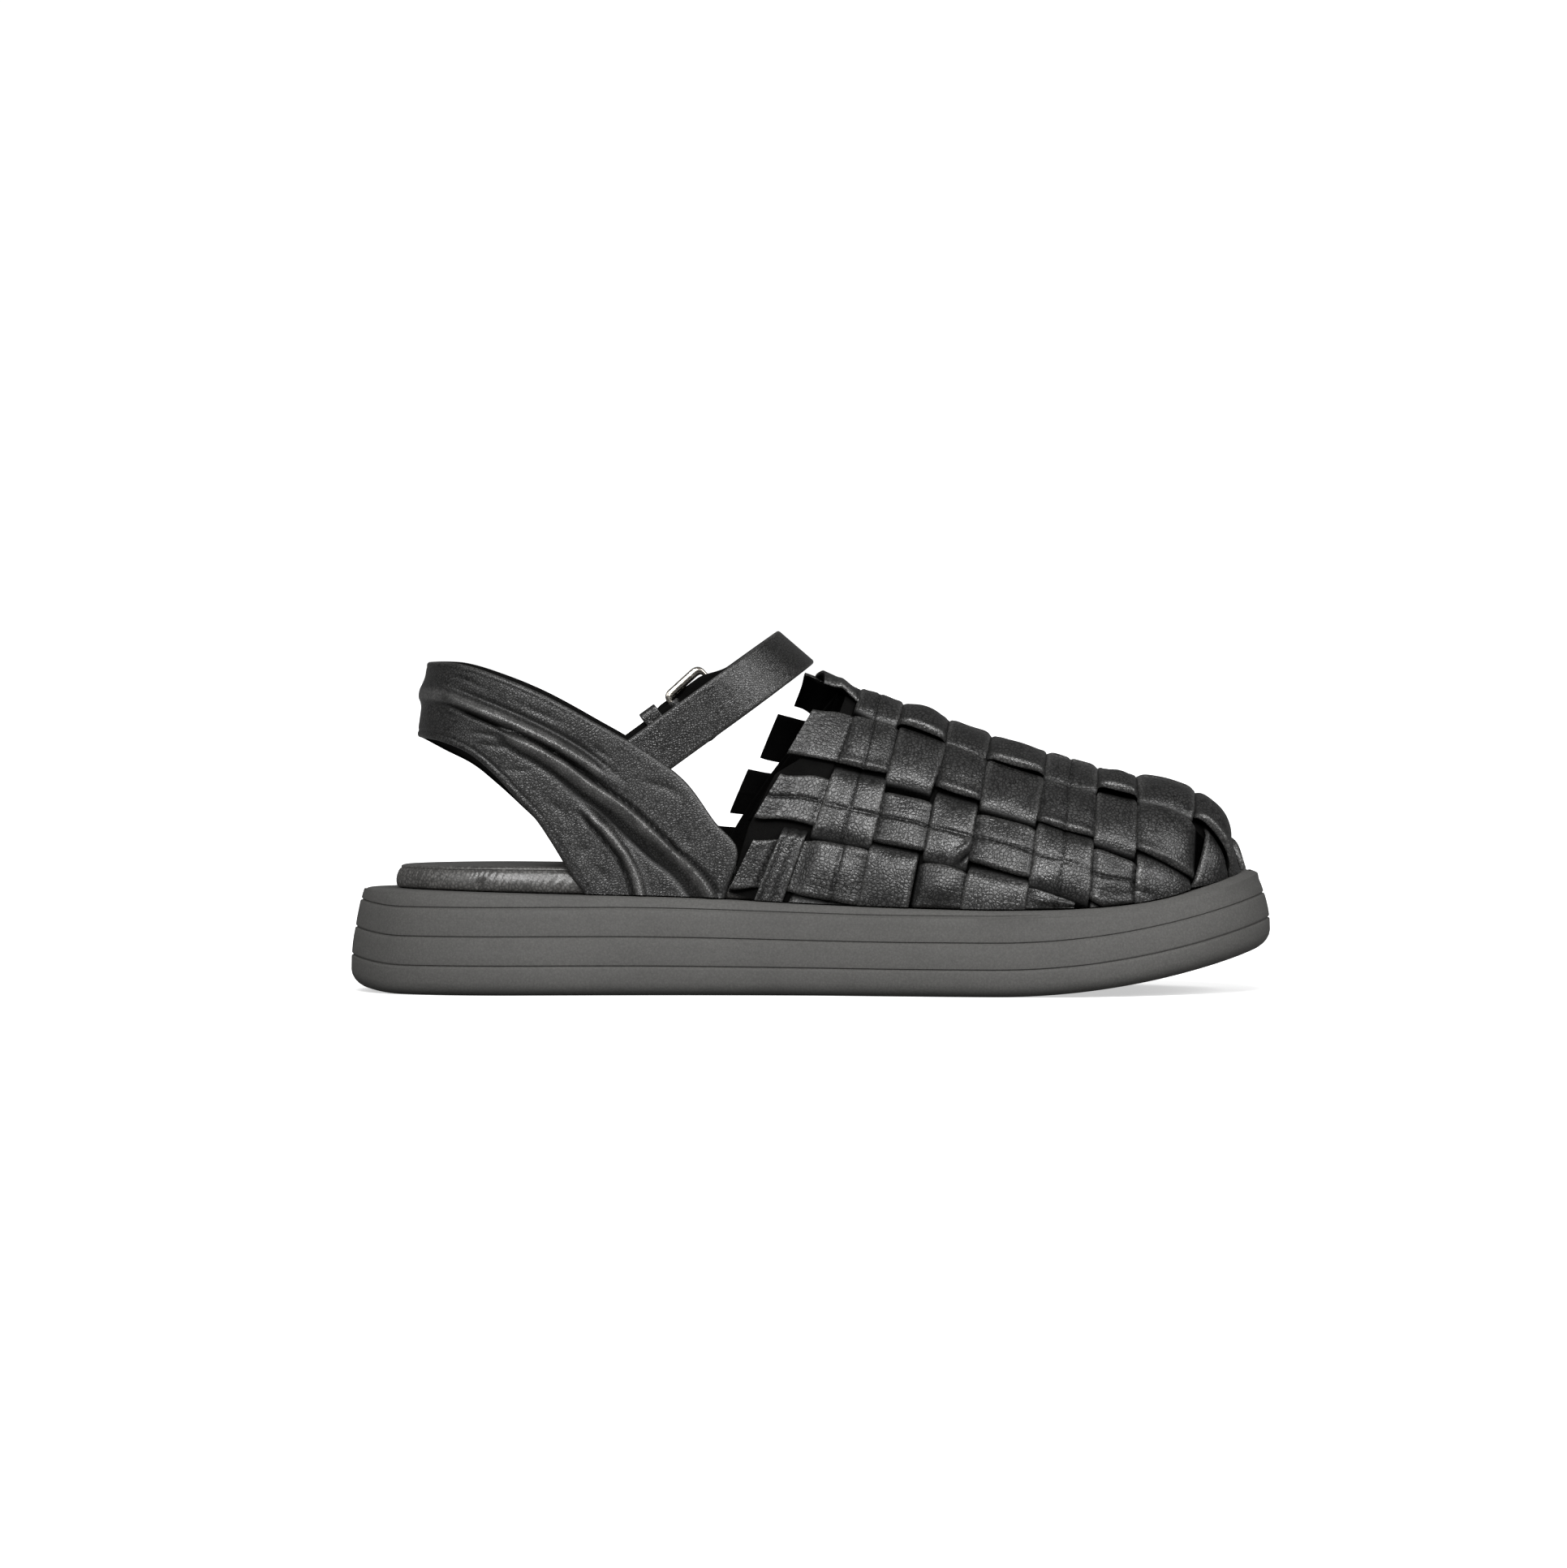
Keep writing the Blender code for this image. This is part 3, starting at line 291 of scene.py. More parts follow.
# The gathered folds: height of the ridge, its reach down and up, the line of its crest, and the grooves beside it
Fold = namedtuple("Fold", "height down up first across grooves")
Groove = namedtuple("Groove", "away_first away_last depth half")
BAND_FOLDS = (
    Fold(
        2.5, 1.5, 2.1, 0, (0.565, 0.548, 0.536, 0.573, 0.624, 0.613),
        (Groove(-2.2, -2.2, 1.0, 0.75), Groove(2.7, 3.2, 0.6, 0.9)),
    ),
    Fold(
        3.0, 3.3, 1.1, 3, (0.465, 0.508, 0.504, 0.549, 0.616, 0.664, 0.93),
        (Groove(1.5, 1.5, 0.9, 0.7), Groove(-3.6, -6.8, 0.75, 1.2)),
    ),
    Fold(2.2, 1.4, 1.9, 6, (0.33, 0.36, 0.35, 0.39), (Groove(-2.1, -2.1, 0.7, 0.75),)),
)
FOLD_START = (-0.7, 0.3)
FOLD_FADE = 0.7
CREASE_LINE, CREASE_ACROSS = 13.0, 32.0
CREASE_BOW, CREASE_FADE = 0.6, 0.42

# Soft creases of the band's leather: line and share across of the two ends, depth and half width
Crease = namedtuple("Crease", "line across end_line end_across depth half")
BAND_CREASES = tuple(Crease(*row) for row in (
    (0.3, 0.30, 1.4, 0.36, 0.25, 0.8),
    (0.6, 0.82, 1.9, 0.80, 0.22, 0.9),
    (1.9, 0.22, 2.7, 0.42, 0.30, 0.8),
    (2.3, 0.16, 3.0, 0.38, 0.28, 0.8),
    (2.6, 0.78, 3.6, 0.86, 0.22, 1.0),
    (3.2, 0.12, 3.7, 0.30, 0.24, 0.8),
    (4.2, 0.82, 4.9, 0.76, 0.25, 0.9),
    (4.6, 0.22, 5.6, 0.16, 0.22, 1.0),
    (5.6, 0.80, 6.4, 0.90, 0.24, 1.0),
    (6.3, 0.16, 7.2, 0.10, 0.25, 0.8),
    (6.9, 0.78, 7.7, 0.70, 0.22, 0.9),
    (7.6, 0.14, 8.6, 0.20, 0.24, 0.8),
))

# Ankle strap and buckle
STRAP_FOOT = (-44.8, 70.7)
STRAP_RISE = 35.9
STRAP_WIDTH = 14.2
STRAP_THICKNESS = 1.6
STRAP_TUCK = 15.0
STRAP_TIP = 1.7
STRAP_TWIST = 13.4
TIP_ROUND, TIP_RADIUS, TIP_LEAST = 7.0, 9.0, 0.15
# Share of the strap's half width past which its edges are painted paler, partly wear and partly a painted highlight
STRAP_RUB_AND_HIGHLIGHT = (0.86, 1.0)
LEG_STATIONS, LOOP_STATIONS, TIP_STATIONS = 30, 91, 40
TUCK_SPLAY = 0.05
OUTER_SPLAY = 0.04
OUTER_LIFT = 2.4
STRAP_END_LIFT = 2.4
LIFT_ENDS = (31.0, 21.0)
LOOP_START = 22.0
LOOP_HEIGHT = 27.0
BAR_BACK = (11.4, 0.9)
BAR_FRONT = (24.4, 2.7)
BUCKLE_WIRE = 0.75
BUCKLE_HALF = 8.5
BUCKLE_TILT = math.radians(6.0)
SIDE_BAR = 1.35
BUCKLE_CORNER = 2.0
LOOP_STEP = 1.2
TAB_THICKNESS = 1.4
TAB_WIDTH = 12.0
TAB_TUCK = 13.0
TAB_BEND = 1.6
CURL_ENDS = (118, -200)
CURL_OUTER = 1.75
CURL_HOLE = 1.05
PRONG_RADIUS = 0.65
PRONG_TIP = (0.0, 0.01, 0.03, 0.06)
PRONG_ENDS = ((14.6, 1.75), (25.8, 4.7))
KEEPER_CENTRE = 3.7
KEEPER_WIDTH = 5.5
KEEPER_WALL = 1.1
KEEPER_CORNER = 1.2
OVER_BAR = 3.0
OVER_TAB = TAB_THICKNESS + GAP
HUMP_FRONT = (23.4, 13.9)
HUMP_BACK = (10.0, 7.2)

# View of the photo
EYE = (-7.8, -3000.0, 128.0)
LOOK_AT = (-7.8, 0.0, 60.3)
LENS = 236.0
SENSOR_WIDTH = 36.0
VIEW_END = 50.0

# Studio light: direction of travel, breadth in degrees and strength of each softbox
SKY_STRENGTH = 0.16
BACKDROP_STRENGTH = 1.05
FLOOR_BOUNCE = 0.2
FLOOR_GLOW = 0.55
FLOOR_RADIUS = 7.0
FLOOR_DROP = 0.00005
Softbox = namedtuple("Softbox", "name towards breadth power")
SOFTBOXES = (
    Softbox("front softbox", (0.1, 1.0, -0.70), 24.0, 2.95),
    Softbox("overhead softbox", (0.0, 0.1, -1.0), 60.0, 0.14),
    Softbox("toe softbox", (-0.75, 0.6, -0.55), 34.0, 1.9),
    Softbox("heel softbox", (0.8, 0.6, -0.55), 34.0, 0.7),
)

# Leathers: share of the grain's size, roughness, strength of the creases and of the bumps
Leather = namedtuple("Leather", "name grain_share roughness creases bump")
WEAVE_LEATHER = Leather("black grain leather", 1.0, 0.33, 0.35, 1.5)
BAND_LEATHER = Leather("gathered band leather", 0.75, 0.37, 0.12, 1.3)
STRAP_LEATHER = Leather("smooth strap leather", 0.6, 0.32, 0.12, 1.3)
INSOLE_LEATHER = Leather("insole leather", 1.0, 0.40, 0.0, 0.5)

# Depth of the patterns on the surfaces in metres, how much paler rubbed edges and crests are painted, partly wear and
# partly a painted highlight, and how dark the painted shade in the grain's valleys is
GRAIN_WARP = (0.0009, 0.0009, 0.0009)
GRAIN_DEPTH = 0.00004
CREASE_DEPTH = 0.0004
FUZZ_DEPTH = 0.0001
SPECKLE_DEPTH = 0.00008
HAIR_DEPTH = 0.00005
RUBBED_AND_HIGHLIGHT_TONE = 2.4
VALLEY_DARK = 0.6


def column(rows, name):
    return [getattr(row, name) for row in rows]


def curve_through(stations, values):
    """A smooth curve through the values, whose slope at each station comes from its neighbours."""
    stations = np.asarray(stations, float)
    values = np.asarray(values, float)
    before = np.maximum(np.arange(len(stations)) - 1, 0)
    after = np.minimum(np.arange(len(stations)) + 1, len(stations) - 1)
    slopes = (values[after] - values[before]) / (stations[after] - stations[before])

    def value_at(where):
        where = np.clip(where, stations[0], stations[-1])
        i = np.clip(np.searchsorted(stations, where) - 1, 0, len(stations) - 2)
        span = stations[i + 1] - stations[i]
        t = (where - stations[i]) / span
        rise = values[i + 1] - values[i]
        bend = span * (slopes[i] * (1 - t) - slopes[i + 1] * t)
        return values[i] + rise * t * t * (3 - 2 * t) + t * (1 - t) * bend

    return value_at


def ramp(start, end, where):
    """0 before start, 1 past end, and a smooth rise between them; start may lie past end."""
    t = np.clip((where - start) / (end - start), 0.0, 1.0)
    return t * t * (3 - 2 * t)


def bell(away, half):
    return np.exp(-((away / half) ** 2))


def rolled(away, half):
    """Side view of a rolled fold, rounder on top and steeper at its foot than a bell."""
    return np.exp(-(np.abs(away / half) ** 2.7))


def unit(vectors):
    return vectors / np.maximum(np.linalg.norm(vectors, axis=-1, keepdims=True), TINY)


def stack(*parts):
    return np.stack(np.broadcast_arrays(*parts), axis=-1)


def mix(start, end, share):
    return start + (end - start) * share


def distances(points):
    """Distance along a run of points from its first to each of them."""
    return np.concatenate([[0], np.cumsum(np.linalg.norm(np.diff(points, axis=0), axis=1))])


PLAN_ALONG = column(INSOLE_PLAN, "along")
plan_centre = curve_through(PLAN_ALONG, column(INSOLE_PLAN, "centre"))
plan_half = curve_through(PLAN_ALONG, column(INSOLE_PLAN, "half"))
sole_top = curve_through(column(SOLE_TOP, "x"), column(SOLE_TOP, "z"))
insole_top = curve_through(column(INSOLE_TOP, "x"), column(INSOLE_TOP, "z"))


def end_round(depth, fullness):
    """Share of the breadth left at a depth into a rounded end, from 1 where it starts to 0 at its tip."""
    return np.maximum(1 - np.maximum(depth, 0.0) ** fullness, 0.0) ** (1 / fullness)


def insole_half(x):
    along = (x - INSOLE_HEEL) / INSOLE_LENGTH
    heel = end_round((HEEL_ROUND - along) / HEEL_ROUND, HEEL_FULLNESS)
    toe = end_round((along - 1 + TOE_ROUND) / TOE_ROUND, TOE_FULLNESS)
    return plan_half(along) * heel * toe


def insole_centre(x):
    return plan_centre((x - INSOLE_HEEL) / INSOLE_LENGTH)


def plan_loop(stations):
    """Points, outward normals and centre line of the insole's outline, up the outer side and down the inner."""
    turn = np.arange(2 * stations)
    station = np.where(turn <= stations, turn, 2 * stations - turn)
    side = np.where(turn <= stations, LATERAL, MEDIAL)
    x = INSOLE_HEEL + INSOLE_LENGTH * (1 - np.cos(np.pi * station / stations)) / 2
    points = stack(x, insole_centre(x) + side * insole_half(x))
    along = np.roll(points, -1, axis=0) - np.roll(points, 1, axis=0)
    normals = unit(stack(-along[:, 1], along[:, 0]))
    closed = np.arange(2 * stations + 1) % (2 * stations)
    return points[closed], normals[closed], stack(x, insole_centre(x))[closed]


def sole_bottom(x):
    heel = np.maximum(HEEL_BEVEL_START - x, 0.0)
    toe = np.maximum(x - TOE_SPRING_START, 0.0)
    return HEEL_BEVEL * heel * heel + TOE_SPRING * toe * toe


def layer_line(line, x):
    """Height of the ground face, of one of the three lines round the side, or of the top face."""
    if line == TOP_LINE:
        return sole_top(x)
    layer = mix(LAYER_AT_HEEL, LAYER_AT_BALL, ramp(*LAYER_CHANGE, x))
    return np.minimum(sole_bottom(x) + line * layer, sole_top(x) - (TOP_LINE - line) * LEAST_LAYER)


def ledge(x):
    heel = ramp(LEDGE_STARTS[0], INSOLE_HEEL, x)
    toe = ramp(LEDGE_STARTS[1], INSOLE_TOE, x)
    return SIDE_LEDGE + (HEEL_LEDGE - SIDE_LEDGE) * heel + (TOE_LEDGE - SIDE_LEDGE) * toe


def flare(x):
    return mix(HEEL_FLARE, TOE_FLARE, ramp(LEDGE_STARTS[1], INSOLE_TOE, x))


# Rings round the sole: how far up the side each line lies, and lift and inset over a groove and over the top edge
SOLE_SHARES = (0.0, 0.09, 0.43, 0.75, 1.0)
GROOVE_PROFILE = (
    (-0.75, 0.0), (-0.42, 0.12), (-0.22, 0.7), (-0.08, 1.0), (0.08, 1.0), (0.22, 0.7), (0.42, 0.12), (0.75, 0.0),
)
TOP_EDGE = ((-1.5, 0.0), (-0.85, 0.04), (-0.4, 0.2), (-0.12, 0.5), (0.0, 0.95))
FOOT_DEPTH, FOOT_INSET = 3.8, 4.2
FOOT_ANGLES = (0, 15, 32, 50, 70, 90)
LAYER_PARTS, LAYER_SWELL = (0.35, 0.65), 0.05
RING_REACH = 0.3


def sole_rings(groove_depth):
    """Line, lift, part of the way to the next line and inset of each ring round the sole, from the ground up."""
    rings = []
    for angle in np.radians(FOOT_ANGLES):
        rings.append((0, FOOT_DEPTH * (1 - math.cos(angle)), 0.0, FOOT_INSET * (1 - math.sin(angle))))
    for line in range(1, TOP_LINE):
        rings += [(line, lift, 0.0, groove_depth * depth) for lift, depth in GROOVE_PROFILE]
        rings += [(line, 0.0, part, -LAYER_SWELL) for part in LAYER_PARTS]
    return rings + [(TOP_LINE, lift, 0.0, inset) for lift, inset in TOP_EDGE]


def sole_points(groove_depth):
    """Rings of the sole from the middle of its ground face, up its side and in to the middle of its top."""
    points, normals, middle = plan_loop(SOLE_STATIONS)
    x = points[:, 0]
    rows = [stack(middle[:, 0], middle[:, 1], sole_bottom(middle[:, 0]))]
    for line, lift, part, inset in sole_rings(groove_depth):
        if line == WEDGE_LINE:
            inset = inset * (1 - ramp(*WEDGE_ENDS, x))
        up, share = lift, 0.0
        if line:
            low, high = (line, line + 1) if line < TOP_LINE else (TOP_LINE - 2, TOP_LINE)
            room = layer_line(high, x) - layer_line(low, x)
            up = np.clip(lift, -RING_REACH * room, RING_REACH * room) + part * room
            step = SOLE_SHARES[high] - SOLE_SHARES[low]
            share = np.clip(SOLE_SHARES[line] + step * up / np.maximum(room, TINY), 0, 1)
        offset = ledge(x) + flare(x) * (1 - share ** FLARE_CURVE) - inset
        ring = points + normals * offset[:, None]
        rows.append(stack(ring[:, 0], ring[:, 1], layer_line(line, ring[:, 0]) + up))
    seat = points + normals * SEAT_OFFSET
    rows.append(stack(seat[:, 0], seat[:, 1], sole_top(seat[:, 0])))
    rows.append(stack(middle[:, 0], middle[:, 1], sole_top(middle[:, 0])))
    return np.array(rows)


# Rings round the insole: share of its height and inset
INSOLE_RINGS = (
    (0.0, 0.9), (0.06, 0.35), (0.14, 0.1), (0.24, 0.0), (0.34, 0.02), (0.44, 0.12), (0.54, 0.3), (0.64, 0.6),
    (0.72, 0.85), (0.78, 1.15), (0.82, 1.5), (0.845, 1.7), (0.87, 1.6), (0.905, 1.6), (0.94, 1.8), (0.97, 2.3),
    (0.99, 3.0), (1.0, 4.2), (0.99, 6.0), (0.97, 9.0), (0.96, 12.0),
)
PLEAT_PITCH, FINE_PLEAT_PITCH = 1.9, 1.159
PLEAT_REACH = (105.0, 30.0)
PLEAT_FOOT, PLEAT_HEAD = (0.03, 0.2), (0.84, 0.66)


def insole_points(gather_depth):
    """The wrapped footbed, with slanting gathers round the heel and a fold under its top edge."""
    points, normals, middle = plan_loop(INSOLE_STATIONS)
    girth = distances(points)
    run = np.minimum(girth, girth[-1] - girth)

    def level(ring, share):
        bottom = sole_top(ring[:, 0]) + GAP
        return stack(ring[:, 0], ring[:, 1], mix(bottom, insole_top(ring[:, 0]), share))

    cap = middle.copy()
    cap[:, 0] = np.clip(cap[:, 0], INSOLE_HEEL + CAP_INSET, INSOLE_TOE - CAP_INSET)
    cap[:, 1] = insole_centre(cap[:, 0])
    rows = [level(cap, 0.0)]
    for share, inset in INSOLE_RINGS:
        # Two slanting waves of uneven length, so that no two gathers are alike
        broad = run / PLEAT_PITCH - 2.2 * share + 0.7 * np.sin(run / 7.0) + 0.5 * np.sin(run / 2.9)
        fine = run / FINE_PLEAT_PITCH - 2.6 * share + 0.6 * np.sin(run / 5.0 + 2.0)
        pleat = (0.5 + 0.3 * np.sin(2 * np.pi * broad) + 0.2 * np.sin(2 * np.pi * fine)) ** 1.6
        pleat = pleat * (0.7 + 0.3 * np.sin(run * 0.31 + 1.0))
        strength = ramp(*PLEAT_REACH, run) * ramp(*PLEAT_FOOT, share) * ramp(*PLEAT_HEAD, share)
        rows.append(level(points - normals * (inset + gather_depth * strength * pleat)[:, None], share))
    rows.append(level(cap, INSOLE_RINGS[-1][0]))
    return np.array(rows)


SECTION_NUMBERS = np.arange(FIRST_SECTION, TOE_SECTION + 1)
section_curves = {
    name: curve_through(SECTION_NUMBERS, column(VAMP_SECTIONS, name)) for name in SectionRow._fields
}


def vamp_base(section, side):
    x = section_curves["medial_x" if side == MEDIAL else "lateral_x"](section)
    edge = np.minimum(x, INSOLE_TOE)
    y = insole_centre(edge) + side * (insole_half(edge) + VAMP_CLEARANCE * (section < TOE_SECTION))
    reach = VAMP_RELIEF * ramp(TOE_SPRING_START, INSOLE_TOE, x)
    return stack(x, y, sole_top(x + reach) + GAP)


def half_table(side):
    """Points of one half of the last, by section and by share of the girth from crest to base, and the girths."""
    section = np.linspace(FIRST_SECTION, TOE_SECTION, round((TOE_SECTION - FIRST_SECTION) / SECTION_STEP) + 1)
    base, across = vamp_base(section, side), vamp_base(section, -side)
    crest_x, crest_z, crown, wall = (
        section_curves[name](section)[:, None] for name in ("crest_x", "crest_z", "crown", "wall")
    )
    crest_y = mix(base[:, 1], across[:, 1], CREST_SHARE if side == MEDIAL else 1 - CREST_SHARE)[:, None]
    t = np.linspace(0, 1, GIRTH_STEPS + 1)
    s = 1 - t
    out = 3 * s * s * t * crown + 3 * s * t * t + t ** 3
    up = s ** 3 + 3 * s * s * t + 3 * s * t * t * wall
    sweep = LATERAL_SWEEP if side == LATERAL else 1.0
    base_x, base_y, base_z = (base[:, axis, None] for axis in range(3))
    points = stack(mix(base_x, crest_x, up ** sweep), mix(crest_y, base_y, out), mix(base_z, crest_z, up))
    table, wholes = np.empty_like(points), np.empty(len(section))
    for row, line in enumerate(points):
        girth = distances(line)
        wholes[row] = girth[-1]
        for axis in range(3):
            table[row, :, axis] = np.interp(t * girth[-1], girth, line[:, axis])
    return table, wholes


LAST = {side: half_table(side) for side in (MEDIAL, LATERAL)}


def section_row(section):
    """The table's row before a section and the share of the way to the next, also short of the first row."""
    place = (section - FIRST_SECTION) / SECTION_STEP
    row = np.clip(np.floor(place), 0, len(LAST[MEDIAL][1]) - 2).astype(int)
    return row, place - row


def whole_girth(section, side):
    row, share = section_row(section)
    wholes = LAST[side][1]
    return mix(wholes[row], wholes[row + 1], np.clip(share, 0, 1))


def last_point(section, girth):
    """A point of the last, girth being the distance from the crest round the section, outer side positive."""
    section, girth = np.broadcast_arrays(np.asarray(section, float), np.asarray(girth, float))
    row, share = section_row(section)
    result = np.empty(section.shape + (3,))
    for side in (MEDIAL, LATERAL):
        here = girth < 0 if side == MEDIAL else girth >= 0
        table, wholes = LAST[side]
        r, u = row[here], share[here][:, None]
        g = np.abs(girth[here])
        rows = []
        for each in (r, r + 1):
            place = np.clip(g / wholes[each], 0, 1) * GIRTH_STEPS
            i = np.minimum(place.astype(int), GIRTH_STEPS - 1)
            t = (place - i)[:, None]
            rows.append(table[each, i] * (1 - t) + table[each, i + 1] * t)
        result[here] = rows[0] * (1 - u) + rows[1] * u
    return result


def on_last(section, girth, height):
    """Points at a height above the last."""
    step, reach = 0.03, 0.5
    along = last_point(section + step, girth) - last_point(section - step, girth)
    round_it = last_point(section, girth + reach) - last_point(section, girth - reach)
    normal = unit(np.cross(along, round_it))
    points = last_point(section, girth) + normal * np.asarray(height)[..., None]
    points[..., 2] -= TOE_DROP * ramp(*TOE_DROP_ENDS, section)
    return points


def wrapped_girth(run, section, inner, outer):
    """Girth at a section of lines that lie at a run round the middle of their strip."""
    return run * np.where(run < 0, whole_girth(section, MEDIAL) / inner, whole_girth(section, LATERAL) / outer)


shift_curves = [curve_through(SECTION_NUMBERS[:-1], row) for row in STRIP_SHIFTS]


def strip_middle(k, section):
    """Girth of a long strip's middle line at a section."""
    return (k - (LONG_STRIPS - 1) / 2) * LONG_PITCH + shift_curves[k](section)


def strip_number(section, girth):
    """Place between the long strips' middle lines: k on strip k, and k + 0.5 halfway to the next."""
    middles = [strip_middle(k, section) for k in range(LONG_STRIPS)]
    number = np.minimum((girth - middles[0]) / LONG_PITCH, 0.0)
    for low, high in zip(middles, middles[1:]):
        number = number + np.clip((girth - low) / (high - low), 0.0, 1.0)
    return number + np.maximum((girth - middles[-1]) / LONG_PITCH, 0.0)


def cross_number(section):
    """Place between the cross strips: n on strip n, and n + 0.5 in the gap to the next."""
    sections, numbers = [-2.0, 0.0], [-2.0, 0.0]
    before = 2 * COLLAR_MIDDLE + COLLAR_HALF
    for n, (low, high) in enumerate(CROSS_EDGES, 1):
        sections += [(before + low) / 2, (low + high) / 2]
        numbers += [n - 0.5, n]
        before = high
    return np.interp(section, sections + [before + 0.04, before + 0.5], numbers + [n + 0.5, n + 1])


def on_top(crossings):
    """1 where a strip lies on the one that it crosses, 0 where it dives under, from its count of crossings."""
    return (1 + np.tanh(WEAVE_SNAP * np.cos(np.pi * crossings)) / math.tanh(WEAVE_SNAP)) / 2


def weave_level(over):
    return WEAVE_MIDDLE + WEAVE_SWING * (2 * over - 1)


def dome(away):
    """Rise of a cell, from 1 in its middle to 0 halfway to the next."""
    return np.clip(1 - (away / 0.5) ** 2, 0, 1)


def strip_outline(seam=False):
    """Across and rise of a strip's outline, each from -1 to 1 over its top and back under it, and its top's count."""
    angles = np.radians(EDGE_ANGLES)
    inner = SEWN_TOP if seam else PLAIN_TOP
    across = [*(1 - EDGE_SHARE * (1 - np.cos(angles))), *inner]
    rise = [*np.sin(angles)] + [1.0] * len(inner)
    across = [-value for value in across] + across[-2::-1]
    rise = rise + rise[-2::-1]
    over = np.array([across, rise])
    under = np.array([across[::-1], [-value for value in rise[::-1]]])
    v, y = np.concatenate([over, under, over[:, :1]], axis=1)[:, None]
    return v, y, len(across)


def closed_rows(rows, top_count):
    """Rows of a strip's outlines with an end cap before the first and after the last."""
    count = 2 * top_count
    mates = np.append(count - 1 - np.arange(count), count - 1)

    def cap(row):
        return (row + row[mates]) / 2

    return np.concatenate([cap(rows[0])[None], rows, cap(rows[-1])[None]])


def padded_rows(values):
    return np.concatenate([values[:1], values, values[-1:]])


def ribbon(points, uv, shares, top_count):
    """A strip's points with its ends closed, and its UVs and shares, as lay_grid takes them."""
    shares = {name: padded_rows(np.broadcast_to(values, points.shape[:2])) for name, values in shares.items()}
    return closed_rows(points, top_count), padded_rows(uv), shares, top_count


# Cells of the near side that stand out in the photo: strip, cross strip, extra puff, tilt and widening
Cell = namedtuple("Cell", "long cross puff tilt widen")
LONG_CELLS = tuple(Cell(*row) for row in (
    (0, 3, 1.0, 0.3, 0.10), (0, 1, 0.2, 0.0, 0.04), (0, 5, 0.3, 0.2, 0.02), (2, 1, 0.2, -0.2, 0.02),
    (2, 3, 0.4, -0.3, 0.04), (2, 5, 0.2, -0.3, 0.02), (2, 7, 0.6, -0.4, 0.12), (3, 2, 1.5, -0.3, 0.03),
    (3, 4, 1.5, -0.4, 0.03), (3, 6, 1.4, -0.4, 0.04), (3, 8, 0.8, -0.2, 0.06), (4, 1, 0.4, 0.3, 0.03),
    (4, 3, 0.7, 0.4, 0.03), (4, 5, 0.7, 0.4, 0.03), (4, 7, 0.7, 0.4, 0.03), (5, 4, 0.4, 0.3, 0.04),
    (6, 3, 0.3, 0.2, 0.03), (7, 4, 0.5, 0.3, 0.08), (1, 2, 0.1, -0.4, 0.04), (1, 4, 0.1, -0.4, 0.03),
    (1, 6, 0.3, -0.2, 0.04), (1, 8, 0.3, -0.2, 0.04),
))

# Shift of the edges of a slanting cross strip, at the crest and low on the inner side
Slant = namedtuple("Slant", "first_high first_low last_high last_low")
CROSS_SLANTS = {2: Slant(0.03, -0.04, 0.06, -0.08), 8: Slant(0.24, -0.16, 0.0, 0.0)}
STRAIGHT = Slant(0.0, 0.0, 0.0, 0.0)
SLANT_ENDS = (-18.0, -40.0)

# Twist in a cross strip of the near side: section and girth of the two ends of its ridge
TWISTED = 3
TWIST_ENDS = ((3.44, -46.0), (3.04, -54.0))
TWIST_HEIGHT = 0.9
TWIST_HALF = 0.8
TWIST_TROUGH = 1.7
TWIST_DEPTH = 0.8


def twist_relief(section, girth):
    """Height of the twisted strip's ridge, and depth of the trough on its toe side."""
    (start, start_girth), (end, end_girth) = TWIST_ENDS
    run = np.array(((end - start) * SECTION_LENGTH, end_girth - start_girth))
    x, y = (section - start) * SECTION_LENGTH, girth - start_girth
    t = (x * run[0] + y * run[1]) / (run @ run)
    toward_toe = (y * run[0] - x * run[1]) / math.sqrt(run @ run)
    within = bell(t - 0.5, 0.5)
    return TWIST_HEIGHT * bell(toward_toe, TWIST_HALF) * within, bell(toward_toe - TWIST_TROUGH, TWIST_HALF) * within


def under_shade(over):
    """How far a place lies in the dark of the crevice where a strip dives under its neighbour."""
    return ramp(*UNDER_SHADE, over)


def stitch_row(k):
    """Section of the row of stitches across a long strip at the collar."""
    return STITCH_ROW_UNDER if k % 2 else STITCH_ROW


def long_stations(k):
    """Sections of a long strip's rows, closer together where it is sewn across."""
    first = min(TAB_ENDS[k])
    stations = [first, *np.arange(first, TOE_SECTION - TOE_STOP, STATION_STEP)]
    for sewn in SEWN_CROSS:
        stations += [sewn + step for step in SEWN_STATIONS]
    return np.unique(np.round(stations, 4))


def tab_level(k, stations, level):
    """Height of a long strip, from the weave past the collar strip to its curled tab."""
    level = mix(level, UNDER_COLLAR if k in OUTERMOST else OVER_COLLAR, ramp(*COLLAR_BLEND, stations))
    level = mix(level, TAB_LEVEL, ramp(*TAB_BLEND, stations)) + TAB_CURL * ramp(*CURL_BLEND, stations)
    if k == CREST_STRIP:
        level = level + CREST_TAB_LIFT * ramp(*CREST_TAB_BLEND, stations)
    return level


def edge_roll(k, v, y):
    """Rise of a long strip's rolled edges and of its flared side, less the crease beside them."""
    rolls, away = EDGE_ROLLS[k], MEDIAL if k < LONG_STRIPS / 2 else LATERAL
    roll = rolls.low * bell(v + ROLL_PLACE, ROLL_HALF) + rolls.high * bell(v - ROLL_PLACE, ROLL_HALF)
    roll = roll - rolls.crease * bell(v * away - CREASE_PLACE, CREASE_HALF)
    return roll * np.maximum(y, 0) + rolls.flare * np.clip(v * away, 0, 1) ** 2


